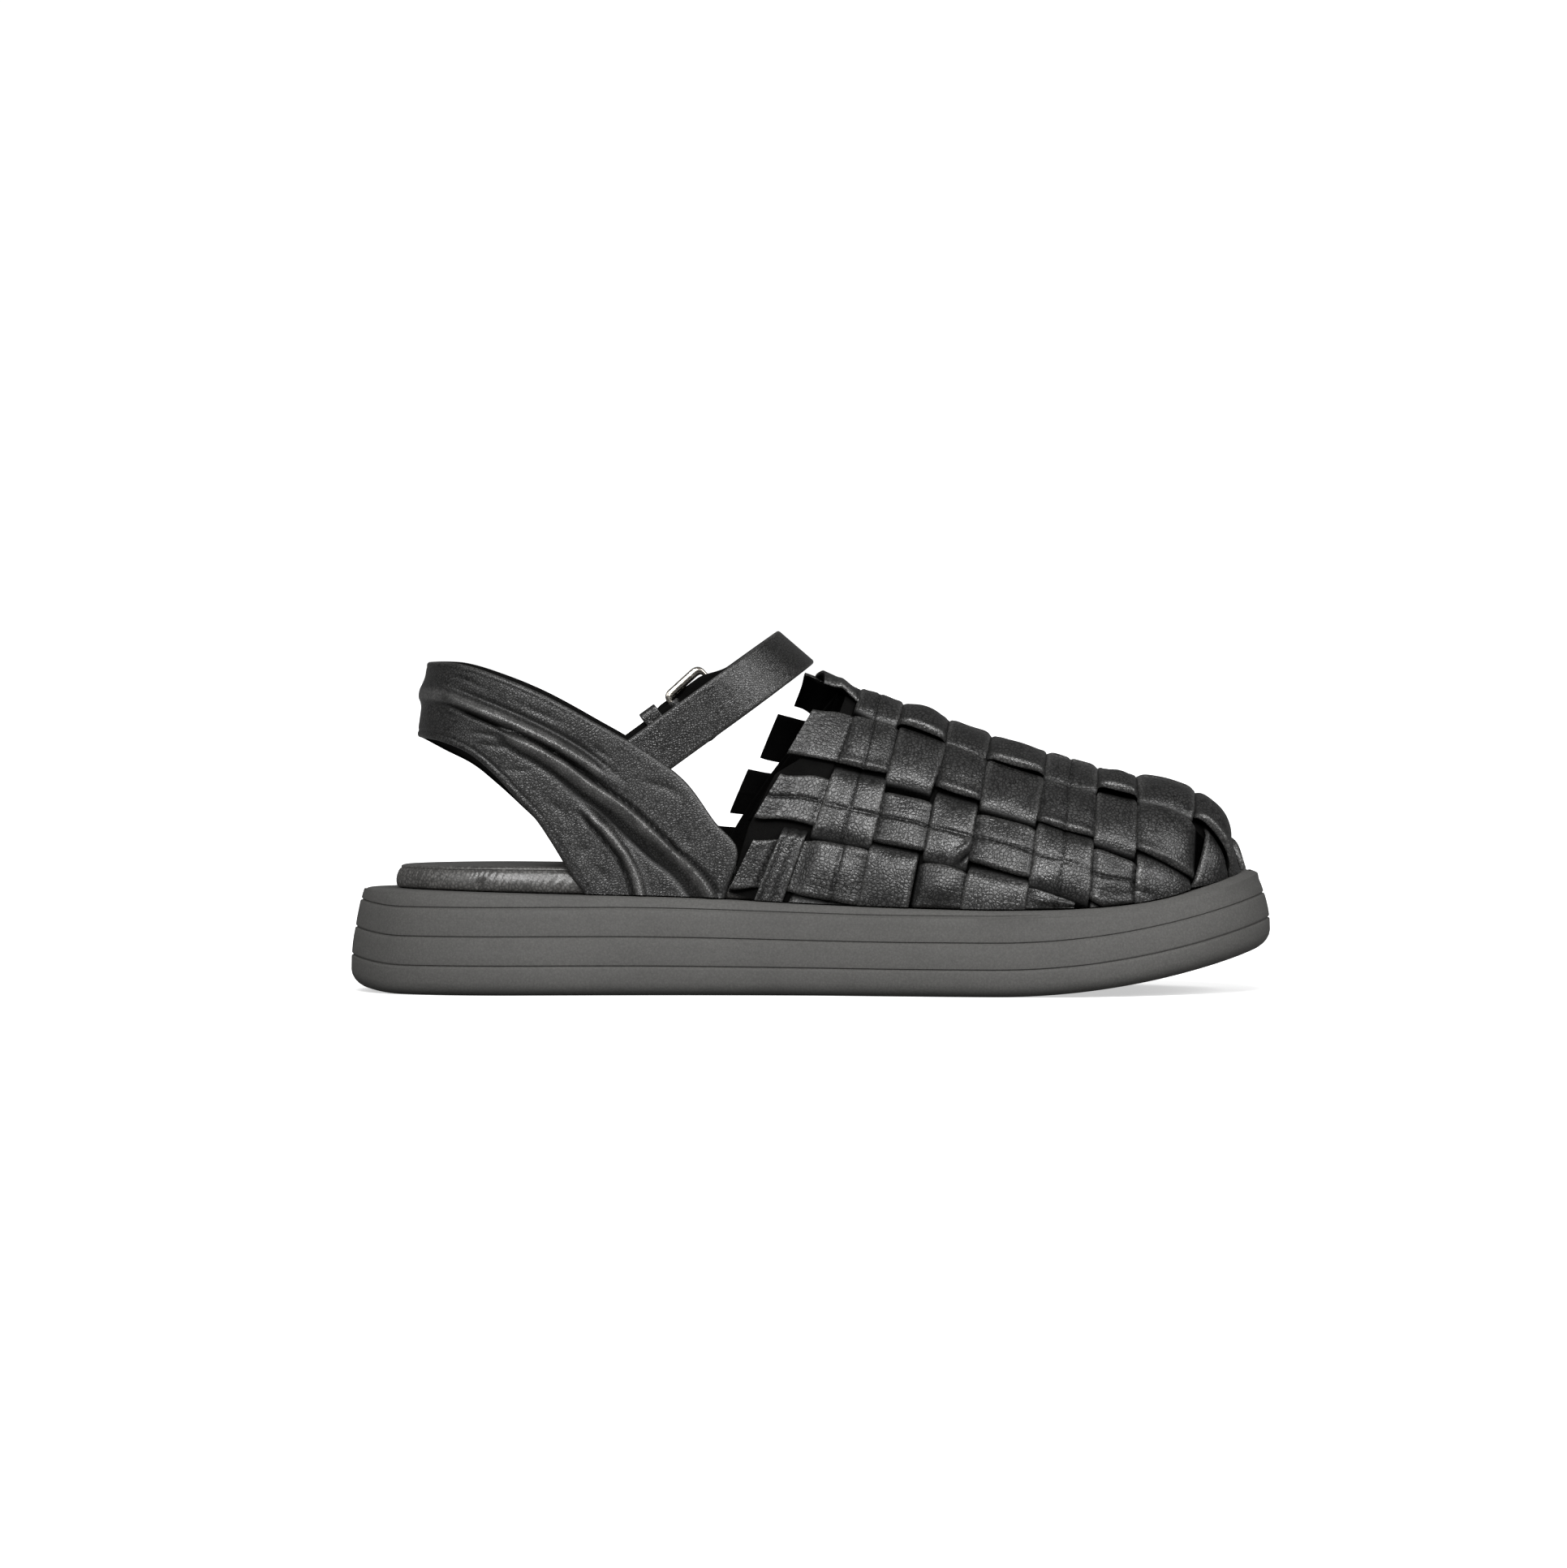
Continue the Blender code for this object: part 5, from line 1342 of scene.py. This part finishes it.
def stitch_runs(points, normals, shown, pitch):
    """Start, end and outward direction of the stitches along those stretches of a line that are shown."""
    runs = []
    breaks = np.flatnonzero(np.diff(shown.astype(int))) + 1
    for stretch in np.split(np.arange(len(points)), breaks):
        if not shown[stretch[0]] or len(stretch) < 3:
            continue
        line, out = points[stretch], normals[stretch]
        length = distances(line)
        for at in np.arange(pitch / 2, length[-1] - pitch / 4, pitch):
            start, end = (point_at(at + step * STITCH_LENGTH / 2, length, line) for step in (-1, 1))
            runs.append((start, end, unit(point_at(at, length, out))))
    return runs


def weave_stitches(settings):
    """The stitches of the collar row, of the collar strip's two rows and of the lines sewn along the strips."""
    thickness, puff, pitch = settings.strip_thickness / MM, settings.strip_puff / MM, settings.stitch_pitch / MM
    runs = []
    for k in range(LONG_STRIPS):
        points, uv, shares, top_count = long_strip(k, thickness, puff)
        normals = face_normals(points, True)
        sections = uv[:, 0, 0] * UV_UNIT / SECTION_LENGTH
        if k not in OUTERMOST:
            row, top = np.argmin(np.abs(sections - stitch_row(k))), slice(4, top_count - 4)
            runs += stitch_runs(points[row, top], normals[row, top], np.ones(top_count - 8, bool), pitch)
        if k in SEWN_LONG:
            middle = top_count // 2
            shown = (shares["shade"][:, middle] < STITCH_SHADE) & (sections < TOE_SECTION - 1)
            runs += stitch_runs(points[:, middle], normals[:, middle], shown, pitch)

    for n in SEWN_CROSS:
        points, uv, shares, top_count = cross_strip(n, thickness, puff)
        middle = top_count // 2
        shown = shares["shade"][:, middle] < STITCH_SHADE
        runs += stitch_runs(points[:, middle], face_normals(points, False)[:, middle], shown, pitch)
    points, uv, shares, top_count = collar_strip()
    across = strip_outline()[0][0, :top_count]
    for row in (-COLLAR_ROWS, COLLAR_ROWS):
        place = np.argmin(np.abs(across - row))
        shown = shares["shade"][:, place] < COLLAR_STITCH_SHADE
        runs += stitch_runs(points[:, place], face_normals(points, False)[:, place], shown, pitch)
    return runs


def sew(name, runs, radius):
    """One mesh of short thread bumps, each between a start and an end that lie on the leather."""
    bpy.ops.object.select_all(action="DESELECT")
    piece = None
    for start, end, up in runs:
        middle = ((start + end) / 2 + up * radius * STITCH_RISE) * MM
        turn = Vector(end - start).to_track_quat("Z", "Y").to_euler()
        size = (radius * MM, radius * MM, np.linalg.norm(end - start) / 2 * MM)
        bpy.ops.mesh.primitive_uv_sphere_add(
            segments=6, ring_count=6, radius=1.0, location=middle, rotation=turn, scale=size
        )
        if piece is None:
            piece = bpy.context.object
            piece.name = name
            piece.data.name = name
            bpy.ops.object.transform_apply(location=True, rotation=True, scale=True)
            bpy.ops.object.mode_set(mode="EDIT")
    bpy.ops.object.mode_set(mode="OBJECT")
    bpy.ops.object.shade_smooth()
    return piece


def add_node(tree, kind, inputs=None, **settings):
    """Adds a shader node, sets its options, and fills its inputs with values or links."""
    made = tree.nodes.new(kind)
    for title, value in settings.items():
        setattr(made, title, value)
    for key, value in (inputs or {}).items():
        if isinstance(value, bpy.types.NodeSocket):
            tree.links.new(value, made.inputs[key])
        else:
            made.inputs[key].default_value = value
    return made


def blank_material(name):
    """A new material with its node tree, its shader and the coordinates that its patterns lie on."""
    material = bpy.data.materials.new(name)
    material.use_nodes = True
    tree = material.node_tree
    place = add_node(tree, "ShaderNodeTexCoord").outputs["Object"]
    return material, tree, tree.nodes["Principled BSDF"], place


def math_node(tree, operation, first, second=None, clamp=False):
    inputs = {0: first}
    if second is not None:
        inputs[1] = second
    return add_node(tree, "ShaderNodeMath", inputs, operation=operation, use_clamp=clamp).outputs[0]


def spread(tree, value, from_low, from_high, to_low, to_high):
    inputs = {"Value": value, "From Min": from_low, "From Max": from_high, "To Min": to_low, "To Max": to_high}
    return add_node(tree, "ShaderNodeMapRange", inputs).outputs[0]


def noise(tree, coordinates, scale, detail=3.0, roughness=0.55):
    inputs = {"Vector": coordinates, "Scale": scale, "Detail": detail, "Roughness": roughness}
    return add_node(tree, "ShaderNodeTexNoise", inputs).outputs[0]


def scaled_colour(tree, colour, value):
    return add_node(
        tree, "ShaderNodeMix", {0: 1.0, 6: (*colour, 1.0), 7: value}, data_type="RGBA", blend_type="MULTIPLY"
    ).outputs[2]


def product(tree, first, *others):
    for each in others:
        first = math_node(tree, "MULTIPLY", first, each)
    return first


def varied(tree, texture, low, high):
    """A factor from low to high over the middle of a noise's range."""
    return spread(tree, texture, 0.3, 0.7, low, high)


def raised(tree, strength, distance, height, normal=None):
    inputs = {"Strength": strength, "Distance": distance, "Height": height}
    if normal is not None:
        inputs["Normal"] = normal
    return add_node(tree, "ShaderNodeBump", inputs).outputs[0]


def finish_surface(tree, shader, colour, tone, rough, bump):
    """Links a surface's colour times its tone, its roughness and its bumps into the shader."""
    links = {"Base Color": scaled_colour(tree, colour, tone), "Roughness": rough, "Normal": bump}
    for title, value in links.items():
        tree.links.new(value, shader.inputs[title])


def leather_material(name, colour, grain, roughness, creases, bump):
    """Black grain leather: pebbles with fine valleys, soft creases along the strip, rubbed edges and crests painted
    paler, partly wear and partly a painted highlight, and painted shade in the crevices and the grain's valleys.
    """
    material, tree, shader, place = blank_material(name)
    shader.inputs["Specular IOR Level"].default_value = 0.6
    warp = add_node(tree, "ShaderNodeTexNoise", {"Vector": place, "Scale": 420.0, "Detail": 2.0}).outputs["Color"]
    warp = add_node(tree, "ShaderNodeVectorMath", {0: warp, 1: GRAIN_WARP}, operation="MULTIPLY").outputs[0]
    warped = add_node(tree, "ShaderNodeVectorMath", {0: place, 1: warp}, operation="ADD").outputs[0]
    edge = add_node(
        tree, "ShaderNodeTexVoronoi", {"Vector": warped, "Scale": 1.0 / grain}, feature="DISTANCE_TO_EDGE"
    ).outputs["Distance"]
    valley, pebble = spread(tree, edge, 0.0, 0.16, 0.8, 0.0), spread(tree, edge, 0.0, 0.3, 0.0, 1.0)
    fine, patch = noise(tree, place, 2600.0, 2.0), noise(tree, place, 130.0, 4.0, 0.6)
    broad = noise(tree, place, 45.0)
    run = add_node(tree, "ShaderNodeTexCoord").outputs["UV"]
    stretched = add_node(tree, "ShaderNodeMapping", {"Vector": run, "Scale": (0.9, 5.5, 1.0)}).outputs[0]
    crease = spread(tree, noise(tree, stretched, 2.6, 4.0, 0.6), 0.35, 0.65, 0.0, 1.0)
    wear, seam, shade = (
        add_node(tree, "ShaderNodeAttribute", attribute_name=title).outputs["Fac"]
        for title in ("wear", "seam", "shade")
    )
    # Rubbed edges and crests painted paler and glossier: partly wear, partly a painted highlight
    rubbed_and_highlit = product(tree, wear, spread(tree, patch, 0.35, 0.65, 0.3, 1.0))
    tone = product(
        tree, varied(tree, patch, 0.7, 1.4), spread(tree, pebble, 0.0, 1.0, 0.45, 1.2), varied(tree, broad, 0.85, 1.2)
    )
    tone = math_node(tree, "ADD", tone, product(tree, rubbed_and_highlit, RUBBED_AND_HIGHLIGHT_TONE))
    # Painted shade: the grooves of the sewn lines and hems are painted darker, and the crevices darker still
    tone = product(tree, tone, spread(tree, seam, 0.0, 1.0, 1.0, 0.4), spread(tree, shade, 0.0, 1.0, 1.0, 0.1))
    rough = varied(tree, patch, roughness - 0.07, roughness + 0.08)
    rough = math_node(tree, "SUBTRACT", rough, product(tree, rubbed_and_highlit, 0.08))
    rough = math_node(tree, "ADD", rough, product(tree, shade, 0.5), clamp=True)
    # Painted shade: deep in the weave and in the grain's valleys the leather is made a black metal, so that it sends
    # back no light at all
    dark = product(tree, valley, spread(tree, patch, 0.35, 0.65, 0.5, 1.2), VALLEY_DARK * bump)
    tree.links.new(math_node(tree, "MAXIMUM", shade, dark), shader.inputs["Metallic"])
    height = math_node(tree, "ADD", product(tree, pebble, 0.9), product(tree, fine, 0.2))
    grain_bump = raised(tree, bump, GRAIN_DEPTH, height)
    soft = math_node(tree, "ADD", product(tree, crease, creases), patch)
    finish_surface(tree, shader, colour, tone, rough, raised(tree, 0.4, CREASE_DEPTH, soft, grain_bump))
    return material


def suede_material(name, colour):
    """The fleshy inner face of the leather: napped, matt and a little uneven."""
    material, tree, shader, place = blank_material(name)
    shader.inputs["Specular IOR Level"].default_value = 0.03
    nap, patch = noise(tree, place, 3200.0, 4.0, 0.7), noise(tree, place, 160.0, 4.0, 0.6)
    tone = product(tree, varied(tree, nap, 0.7, 1.3), varied(tree, patch, 0.8, 1.25))
    finish_surface(tree, shader, colour, tone, varied(tree, patch, 0.86, 0.96), raised(tree, 0.5, FUZZ_DEPTH, nap))
    return material


def rubber_material(name, colour):
    """Foamed rubber: a matt dark grey with fine speckle and faint scuffs."""
    material, tree, shader, place = blank_material(name)
    speckle, patch = noise(tree, place, 1900.0, 3.0, 0.65), noise(tree, place, 28.0, 4.0, 0.6)
    inputs = {"Vector": place, "Scale": 1400.0}
    cells = add_node(tree, "ShaderNodeTexVoronoi", inputs, feature="F1").outputs["Distance"]
    flat = add_node(tree, "ShaderNodeMapping", {"Vector": place, "Scale": (1.0, 1.0, 6.0)}).outputs[0]
    scuff = noise(tree, flat, 90.0, 5.0, 0.65)
    tone = product(
        tree, varied(tree, speckle, 0.86, 1.14), spread(tree, cells, 0.0, 0.7, 1.12, 0.9),
        varied(tree, patch, 0.9, 1.12), spread(tree, scuff, 0.35, 0.7, 0.96, 1.08),
    )
    height = math_node(tree, "ADD", speckle, product(tree, cells, 0.5))
    rough, bump = varied(tree, scuff, 0.7, 0.86), raised(tree, 0.3, SPECKLE_DEPTH, height)
    finish_surface(tree, shader, colour, tone, rough, bump)
    return material


def metal_material(name, colour):
    """Polished plate with hairline scratches and a slightly warm, uneven polish."""
    material, tree, shader, place = blank_material(name)
    shader.inputs["Metallic"].default_value = 1.0
    drawn = add_node(tree, "ShaderNodeMapping", {"Vector": place, "Scale": (300.0, 300.0, 4000.0)}).outputs[0]
    hair, patch = noise(tree, drawn, 1.0, 4.0, 0.7), noise(tree, place, 400.0)
    tone = product(tree, varied(tree, patch, 0.6, 1.3), spread(tree, hair, 0.35, 0.65, 0.6, 1.2))
    finish_surface(tree, shader, colour, tone, varied(tree, hair, 0.14, 0.3), raised(tree, 0.12, HAIR_DEPTH, hair))
    return material


def thread_material(name, colour):
    """Waxed thread, uneven along its twist."""
    material, tree, shader, place = blank_material(name)
    twist = noise(tree, place, 4000.0, 2.0)
    tone, rough = varied(tree, twist, 0.6, 1.4), varied(tree, twist, 0.5, 0.7)
    finish_surface(tree, shader, colour, tone, rough, raised(tree, 0.5, FUZZ_DEPTH, twist))
    return material


def floor_material(name, colour):
    """Pale floor that throws back only part of its light, so the sandal's undersides stay dark."""
    material, tree, shader, place = blank_material(name)
    seen = add_node(tree, "ShaderNodeLightPath").outputs["Is Camera Ray"]
    tone = varied(tree, noise(tree, place, 3.0, 2.0), 0.985, 1.0)
    tone = product(tree, tone, spread(tree, seen, 0.0, 1.0, FLOOR_BOUNCE, 1.0))
    tree.links.new(scaled_colour(tree, colour, tone), shader.inputs["Base Color"])
    shader.inputs["Roughness"].default_value = 0.9
    shader.inputs["Emission Color"].default_value = (1.0, 1.0, 1.0, 1.0)
    tree.links.new(spread(tree, seen, 0.0, 1.0, 0.0, FLOOR_GLOW), shader.inputs["Emission Strength"])
    return material


def kept(name, make, colour, *values):
    """The material of that name, made on its first use."""
    return bpy.data.materials.get(name) or make(name, tuple(colour), *values)


class SandalSettings(bpy.types.PropertyGroup):
    """Colours and sizes of the sandal that a user would change."""

    leather_colour: FloatVectorProperty(
        name="Leather", description="Colour of the woven strips, the heel band and the straps", subtype="COLOR",
        size=3, min=0.0, max=1.0, default=(0.016, 0.0158, 0.0155),
    )
    lining_colour: FloatVectorProperty(
        name="Lining", description="Colour of the napped inner face of the leather", subtype="COLOR",
        size=3, min=0.0, max=1.0, default=(0.004, 0.0039, 0.0038),
    )
    insole_colour: FloatVectorProperty(
        name="Insole", description="Colour of the leather round the footbed", subtype="COLOR",
        size=3, min=0.0, max=1.0, default=(0.067, 0.065, 0.062),
    )
    rubber_colour: FloatVectorProperty(
        name="Sole", description="Colour of the foamed sole", subtype="COLOR",
        size=3, min=0.0, max=1.0, default=(0.060, 0.0588, 0.0560),
    )
    thread_colour: FloatVectorProperty(
        name="Thread", description="Colour of the stitches", subtype="COLOR",
        size=3, min=0.0, max=1.0, default=(0.005, 0.005, 0.005),
    )
    metal_colour: FloatVectorProperty(
        name="Buckle", description="Colour of the buckle's plating", subtype="COLOR",
        size=3, min=0.0, max=1.0, default=(0.50, 0.47, 0.42),
    )
    floor_colour: FloatVectorProperty(
        name="Floor", description="Colour of the studio floor", subtype="COLOR",
        size=3, min=0.0, max=1.0, default=(0.9, 0.9, 0.9),
    )
    strip_thickness: FloatProperty(
        name="Strip thickness", description="Thickness of the woven strips", subtype="DISTANCE", unit="LENGTH",
        min=0.0006, max=0.0022, default=0.00145,
    )
    strip_puff: FloatProperty(
        name="Strip puff", description="How far a strip bulges where it lies on top", subtype="DISTANCE",
        unit="LENGTH", min=0.0, max=0.0015, default=0.0006,
    )
    fold_share: FloatProperty(
        name="Folds", description="Height of the gathered folds of the heel band", subtype="FACTOR",
        min=0.0, max=1.0, default=1.0,
    )
    gather_depth: FloatProperty(
        name="Insole gathers", description="Depth of the gathers round the footbed's heel", subtype="DISTANCE",
        unit="LENGTH", min=0.0, max=0.0015, default=0.0006,
    )
    groove_depth: FloatProperty(
        name="Sole grooves", description="Depth of the lines round the sole", subtype="DISTANCE", unit="LENGTH",
        min=0.0, max=0.0015, default=0.0005,
    )
    grain_size: FloatProperty(
        name="Grain", description="Breadth of the pebbles in the leather's grain", subtype="DISTANCE", unit="LENGTH",
        min=0.0003, max=0.003, default=0.0011,
    )
    stitch_pitch: FloatProperty(
        name="Stitch pitch", description="Distance from one stitch to the next", subtype="DISTANCE", unit="LENGTH",
        min=0.0008, max=0.006, default=0.0021,
    )
    light_strength: FloatProperty(
        name="Light", description="Strength of the studio light", subtype="FACTOR", min=0.1, max=4.0, default=1.0,
    )


def leather_face(settings, kind, colour):
    grain = settings.grain_size * kind.grain_share
    return kept(kind.name, leather_material, colour, grain, kind.roughness, kind.creases, kind.bump)


def leather_and_suede(settings, kind):
    """The two faces of one of the upper's leathers."""
    suede = kept("black suede lining", suede_material, settings.lining_colour)
    return leather_face(settings, kind, settings.leather_colour), suede


class SANDAL_OT_sole(bpy.types.Operator):
    """Build the flatform sole with the lines round its side"""

    bl_idname = "sandal.sole"
    bl_label = "Sole"

    def execute(self, context):
        settings = context.scene.sandal
        sole = lay_grid("foam_sole", sole_points(settings.groove_depth / MM))
        dress(sole, "sole_rubber", [kept("foamed rubber", rubber_material, settings.rubber_colour)], "sole")
        return {"FINISHED"}


class SANDAL_OT_insole(bpy.types.Operator):
    """Build the leather-wrapped footbed"""

    bl_idname = "sandal.insole"
    bl_label = "Insole"

    def execute(self, context):
        settings = context.scene.sandal
        insole = lay_grid("wrapped_insole", insole_points(settings.gather_depth / MM))
        leather = leather_face(settings, INSOLE_LEATHER, settings.insole_colour)
        dress(insole, "insole_leather", [leather], "insole")
        return {"FINISHED"}


class SANDAL_OT_long_strips(bpy.types.Operator):
    """Weave the strips that run from the collar to the toe"""

    bl_idname = "sandal.long_strips"
    bl_label = "Long strips"

    def execute(self, context):
        settings = context.scene.sandal
        leathers = leather_and_suede(settings, WEAVE_LEATHER)
        for k in range(LONG_STRIPS):
            shape = long_strip(k, settings.strip_thickness / MM, settings.strip_puff / MM)
            strip = lay_grid(f"long_strip_{k + 1}", *shape)
            dress(strip, "upper_leather", leathers, *(["vamp"] if k == 0 else []))
        return {"FINISHED"}


class SANDAL_OT_cross_strips(bpy.types.Operator):
    """Weave the strips that cross the vamp, and the collar strip that binds the tabs"""

    bl_idname = "sandal.cross_strips"
    bl_label = "Cross strips"

    def execute(self, context):
        settings = context.scene.sandal
        leather, suede = leather_and_suede(settings, WEAVE_LEATHER)
        for n in range(1, CROSS_STRIPS + 1):
            shape = cross_strip(n, settings.strip_thickness / MM, settings.strip_puff / MM)
            dress(lay_grid(f"cross_strip_{n}", *shape), "upper_leather", [leather, suede])
        dress(lay_grid("collar_strip", *collar_strip()), "upper_leather", [leather, suede])
        dress(lay_grid("collar_lining", *collar_lining()), "upper_leather", [suede, suede])
        dress(lay_grid("vamp_lining", *vamp_lining()), "upper_leather", [suede, suede])
        return {"FINISHED"}


class SANDAL_OT_stitches(bpy.types.Operator):
    """Sew the collar's row of stitches and the lines along the sewn strips"""

    bl_idname = "sandal.stitches"
    bl_label = "Stitches"

    def execute(self, context):
        settings = context.scene.sandal
        thread = sew("weave_stitches", weave_stitches(settings), STITCH_RADIUS)
        dress(thread, "upper_leather", [kept("waxed thread", thread_material, settings.thread_colour)])
        return {"FINISHED"}


class SANDAL_OT_heel_band(bpy.types.Operator):
    """Build the gathered band round the heel"""

    bl_idname = "sandal.heel_band"
    bl_label = "Heel band"

    def execute(self, context):
        settings = context.scene.sandal
        band = lay_grid("gathered_heel_band", *heel_band(settings.fold_share))
        dress(band, "upper_leather", leather_and_suede(settings, BAND_LEATHER), "heel_band")
        return {"FINISHED"}


class SANDAL_OT_ankle_strap(bpy.types.Operator):
    """Build the instep strap, its tab and the keeper loop"""

    bl_idname = "sandal.ankle_strap"
    bl_label = "Ankle strap"

    def execute(self, context):
        settings = context.scene.sandal
        leathers = leather_and_suede(settings, STRAP_LEATHER)
        dress(lay_grid("instep_strap", *strap_rows()), "upper_leather", leathers, "ankle_strap")
        dress(lay_grid("curled_tab", *tab_rows()), "upper_leather", leathers, "buckle_tab")
        dress(lay_grid("keeper_loop", *keeper_rows()), "upper_leather", leathers, "strap_keeper")
        return {"FINISHED"}


class SANDAL_OT_buckle(bpy.types.Operator):
    """Build the buckle's frame and prong"""

    bl_idname = "sandal.buckle"
    bl_label = "Buckle"

    def execute(self, context):
        settings = context.scene.sandal
        plate = kept("polished plate", metal_material, settings.metal_colour)
        dress(lay_grid("buckle_bars", buckle_rows()), "buckle_metal", [plate], "buckle_frame")
        dress(lay_grid("buckle_tongue", prong_rows()), "buckle_metal", [plate], "buckle_prong")
        return {"FINISHED"}


class SANDAL_OT_stage(bpy.types.Operator):
    """Set the floor, the studio light and the camera of the photo"""

    bl_idname = "sandal.stage"
    bl_label = "Stage"

    def execute(self, context):
        settings = context.scene.sandal
        bpy.ops.object.select_all(action="DESELECT")
        bpy.ops.mesh.primitive_circle_add(
            vertices=96, radius=FLOOR_RADIUS, fill_type="NGON", location=(0.0, 0.0, -FLOOR_DROP)
        )
        floor = context.object
        floor.name = "studio_floor"
        floor.data.materials.append(kept("studio floor", floor_material, settings.floor_colour))
        floor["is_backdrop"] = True

        world = bpy.data.worlds.new("studio")
        context.scene.world = world
        world.use_nodes = True
        tree = world.node_tree
        seen = add_node(tree, "ShaderNodeLightPath").outputs["Is Camera Ray"]
        strength = spread(tree, seen, 0.0, 1.0, SKY_STRENGTH * settings.light_strength, BACKDROP_STRENGTH)
        background = tree.nodes["Background"]
        background.inputs["Color"].default_value = (1.0, 1.0, 1.0, 1.0)
        tree.links.new(strength, background.inputs["Strength"])

        for softbox in SOFTBOXES:
            turn = Vector(softbox.towards).to_track_quat("-Z", "Y").to_euler()
            bpy.ops.object.light_add(type="SUN", location=(0.0, 0.0, 2.0), rotation=turn)
            light = context.object
            light.name = softbox.name
            light.data.angle = math.radians(softbox.breadth)
            light.data.energy = softbox.power * settings.light_strength

        eye, target = Vector(EYE) * MM, Vector(LOOK_AT) * MM
        turn = (target - eye).to_track_quat("-Z", "Y").to_euler()
        bpy.ops.object.camera_add(location=eye, rotation=turn)
        camera = context.object
        camera.name = "photo_view"
        camera.data.lens = LENS
        camera.data.sensor_width = SENSOR_WIDTH
        camera.data.clip_end = VIEW_END
        context.scene.camera = camera
        context.scene.view_settings.view_transform = "Standard"
        return {"FINISHED"}


OPERATORS = (
    SANDAL_OT_sole,
    SANDAL_OT_insole,
    SANDAL_OT_long_strips,
    SANDAL_OT_cross_strips,
    SANDAL_OT_stitches,
    SANDAL_OT_heel_band,
    SANDAL_OT_ankle_strap,
    SANDAL_OT_buckle,
    SANDAL_OT_stage,
)


class SANDAL_PT_pieces(bpy.types.Panel):
    """Pieces of the sandal and the settings they are built with"""

    bl_idname = "SANDAL_PT_pieces"
    bl_label = "Woven sandal"
    bl_space_type = "VIEW_3D"
    bl_region_type = "UI"
    bl_category = "Sandal"

    def draw(self, context):
        settings = context.scene.sandal
        for title in SandalSettings.__annotations__:
            self.layout.prop(settings, title)
        for operator in OPERATORS:
            self.layout.operator(operator.bl_idname)


CLASSES = (SandalSettings, *OPERATORS, SANDAL_PT_pieces)


def register():
    for each in CLASSES:
        bpy.utils.register_class(each)
    bpy.types.Scene.sandal = PointerProperty(type=SandalSettings)


def unregister():
    del bpy.types.Scene.sandal
    for each in reversed(CLASSES):
        bpy.utils.unregister_class(each)


def main():
    register()
    bpy.ops.sandal.sole()
    bpy.ops.sandal.insole()
    bpy.ops.sandal.long_strips()
    bpy.ops.sandal.cross_strips()
    bpy.ops.sandal.stitches()
    bpy.ops.sandal.heel_band()
    bpy.ops.sandal.ankle_strap()
    bpy.ops.sandal.buckle()
    bpy.ops.sandal.stage()
    boxes = {"cad": CAD_BOX, "visual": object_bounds()}
    {name: [list(corner) for corner in box] for name, box in boxes.items()}


if __name__ == "__main__":
    main()
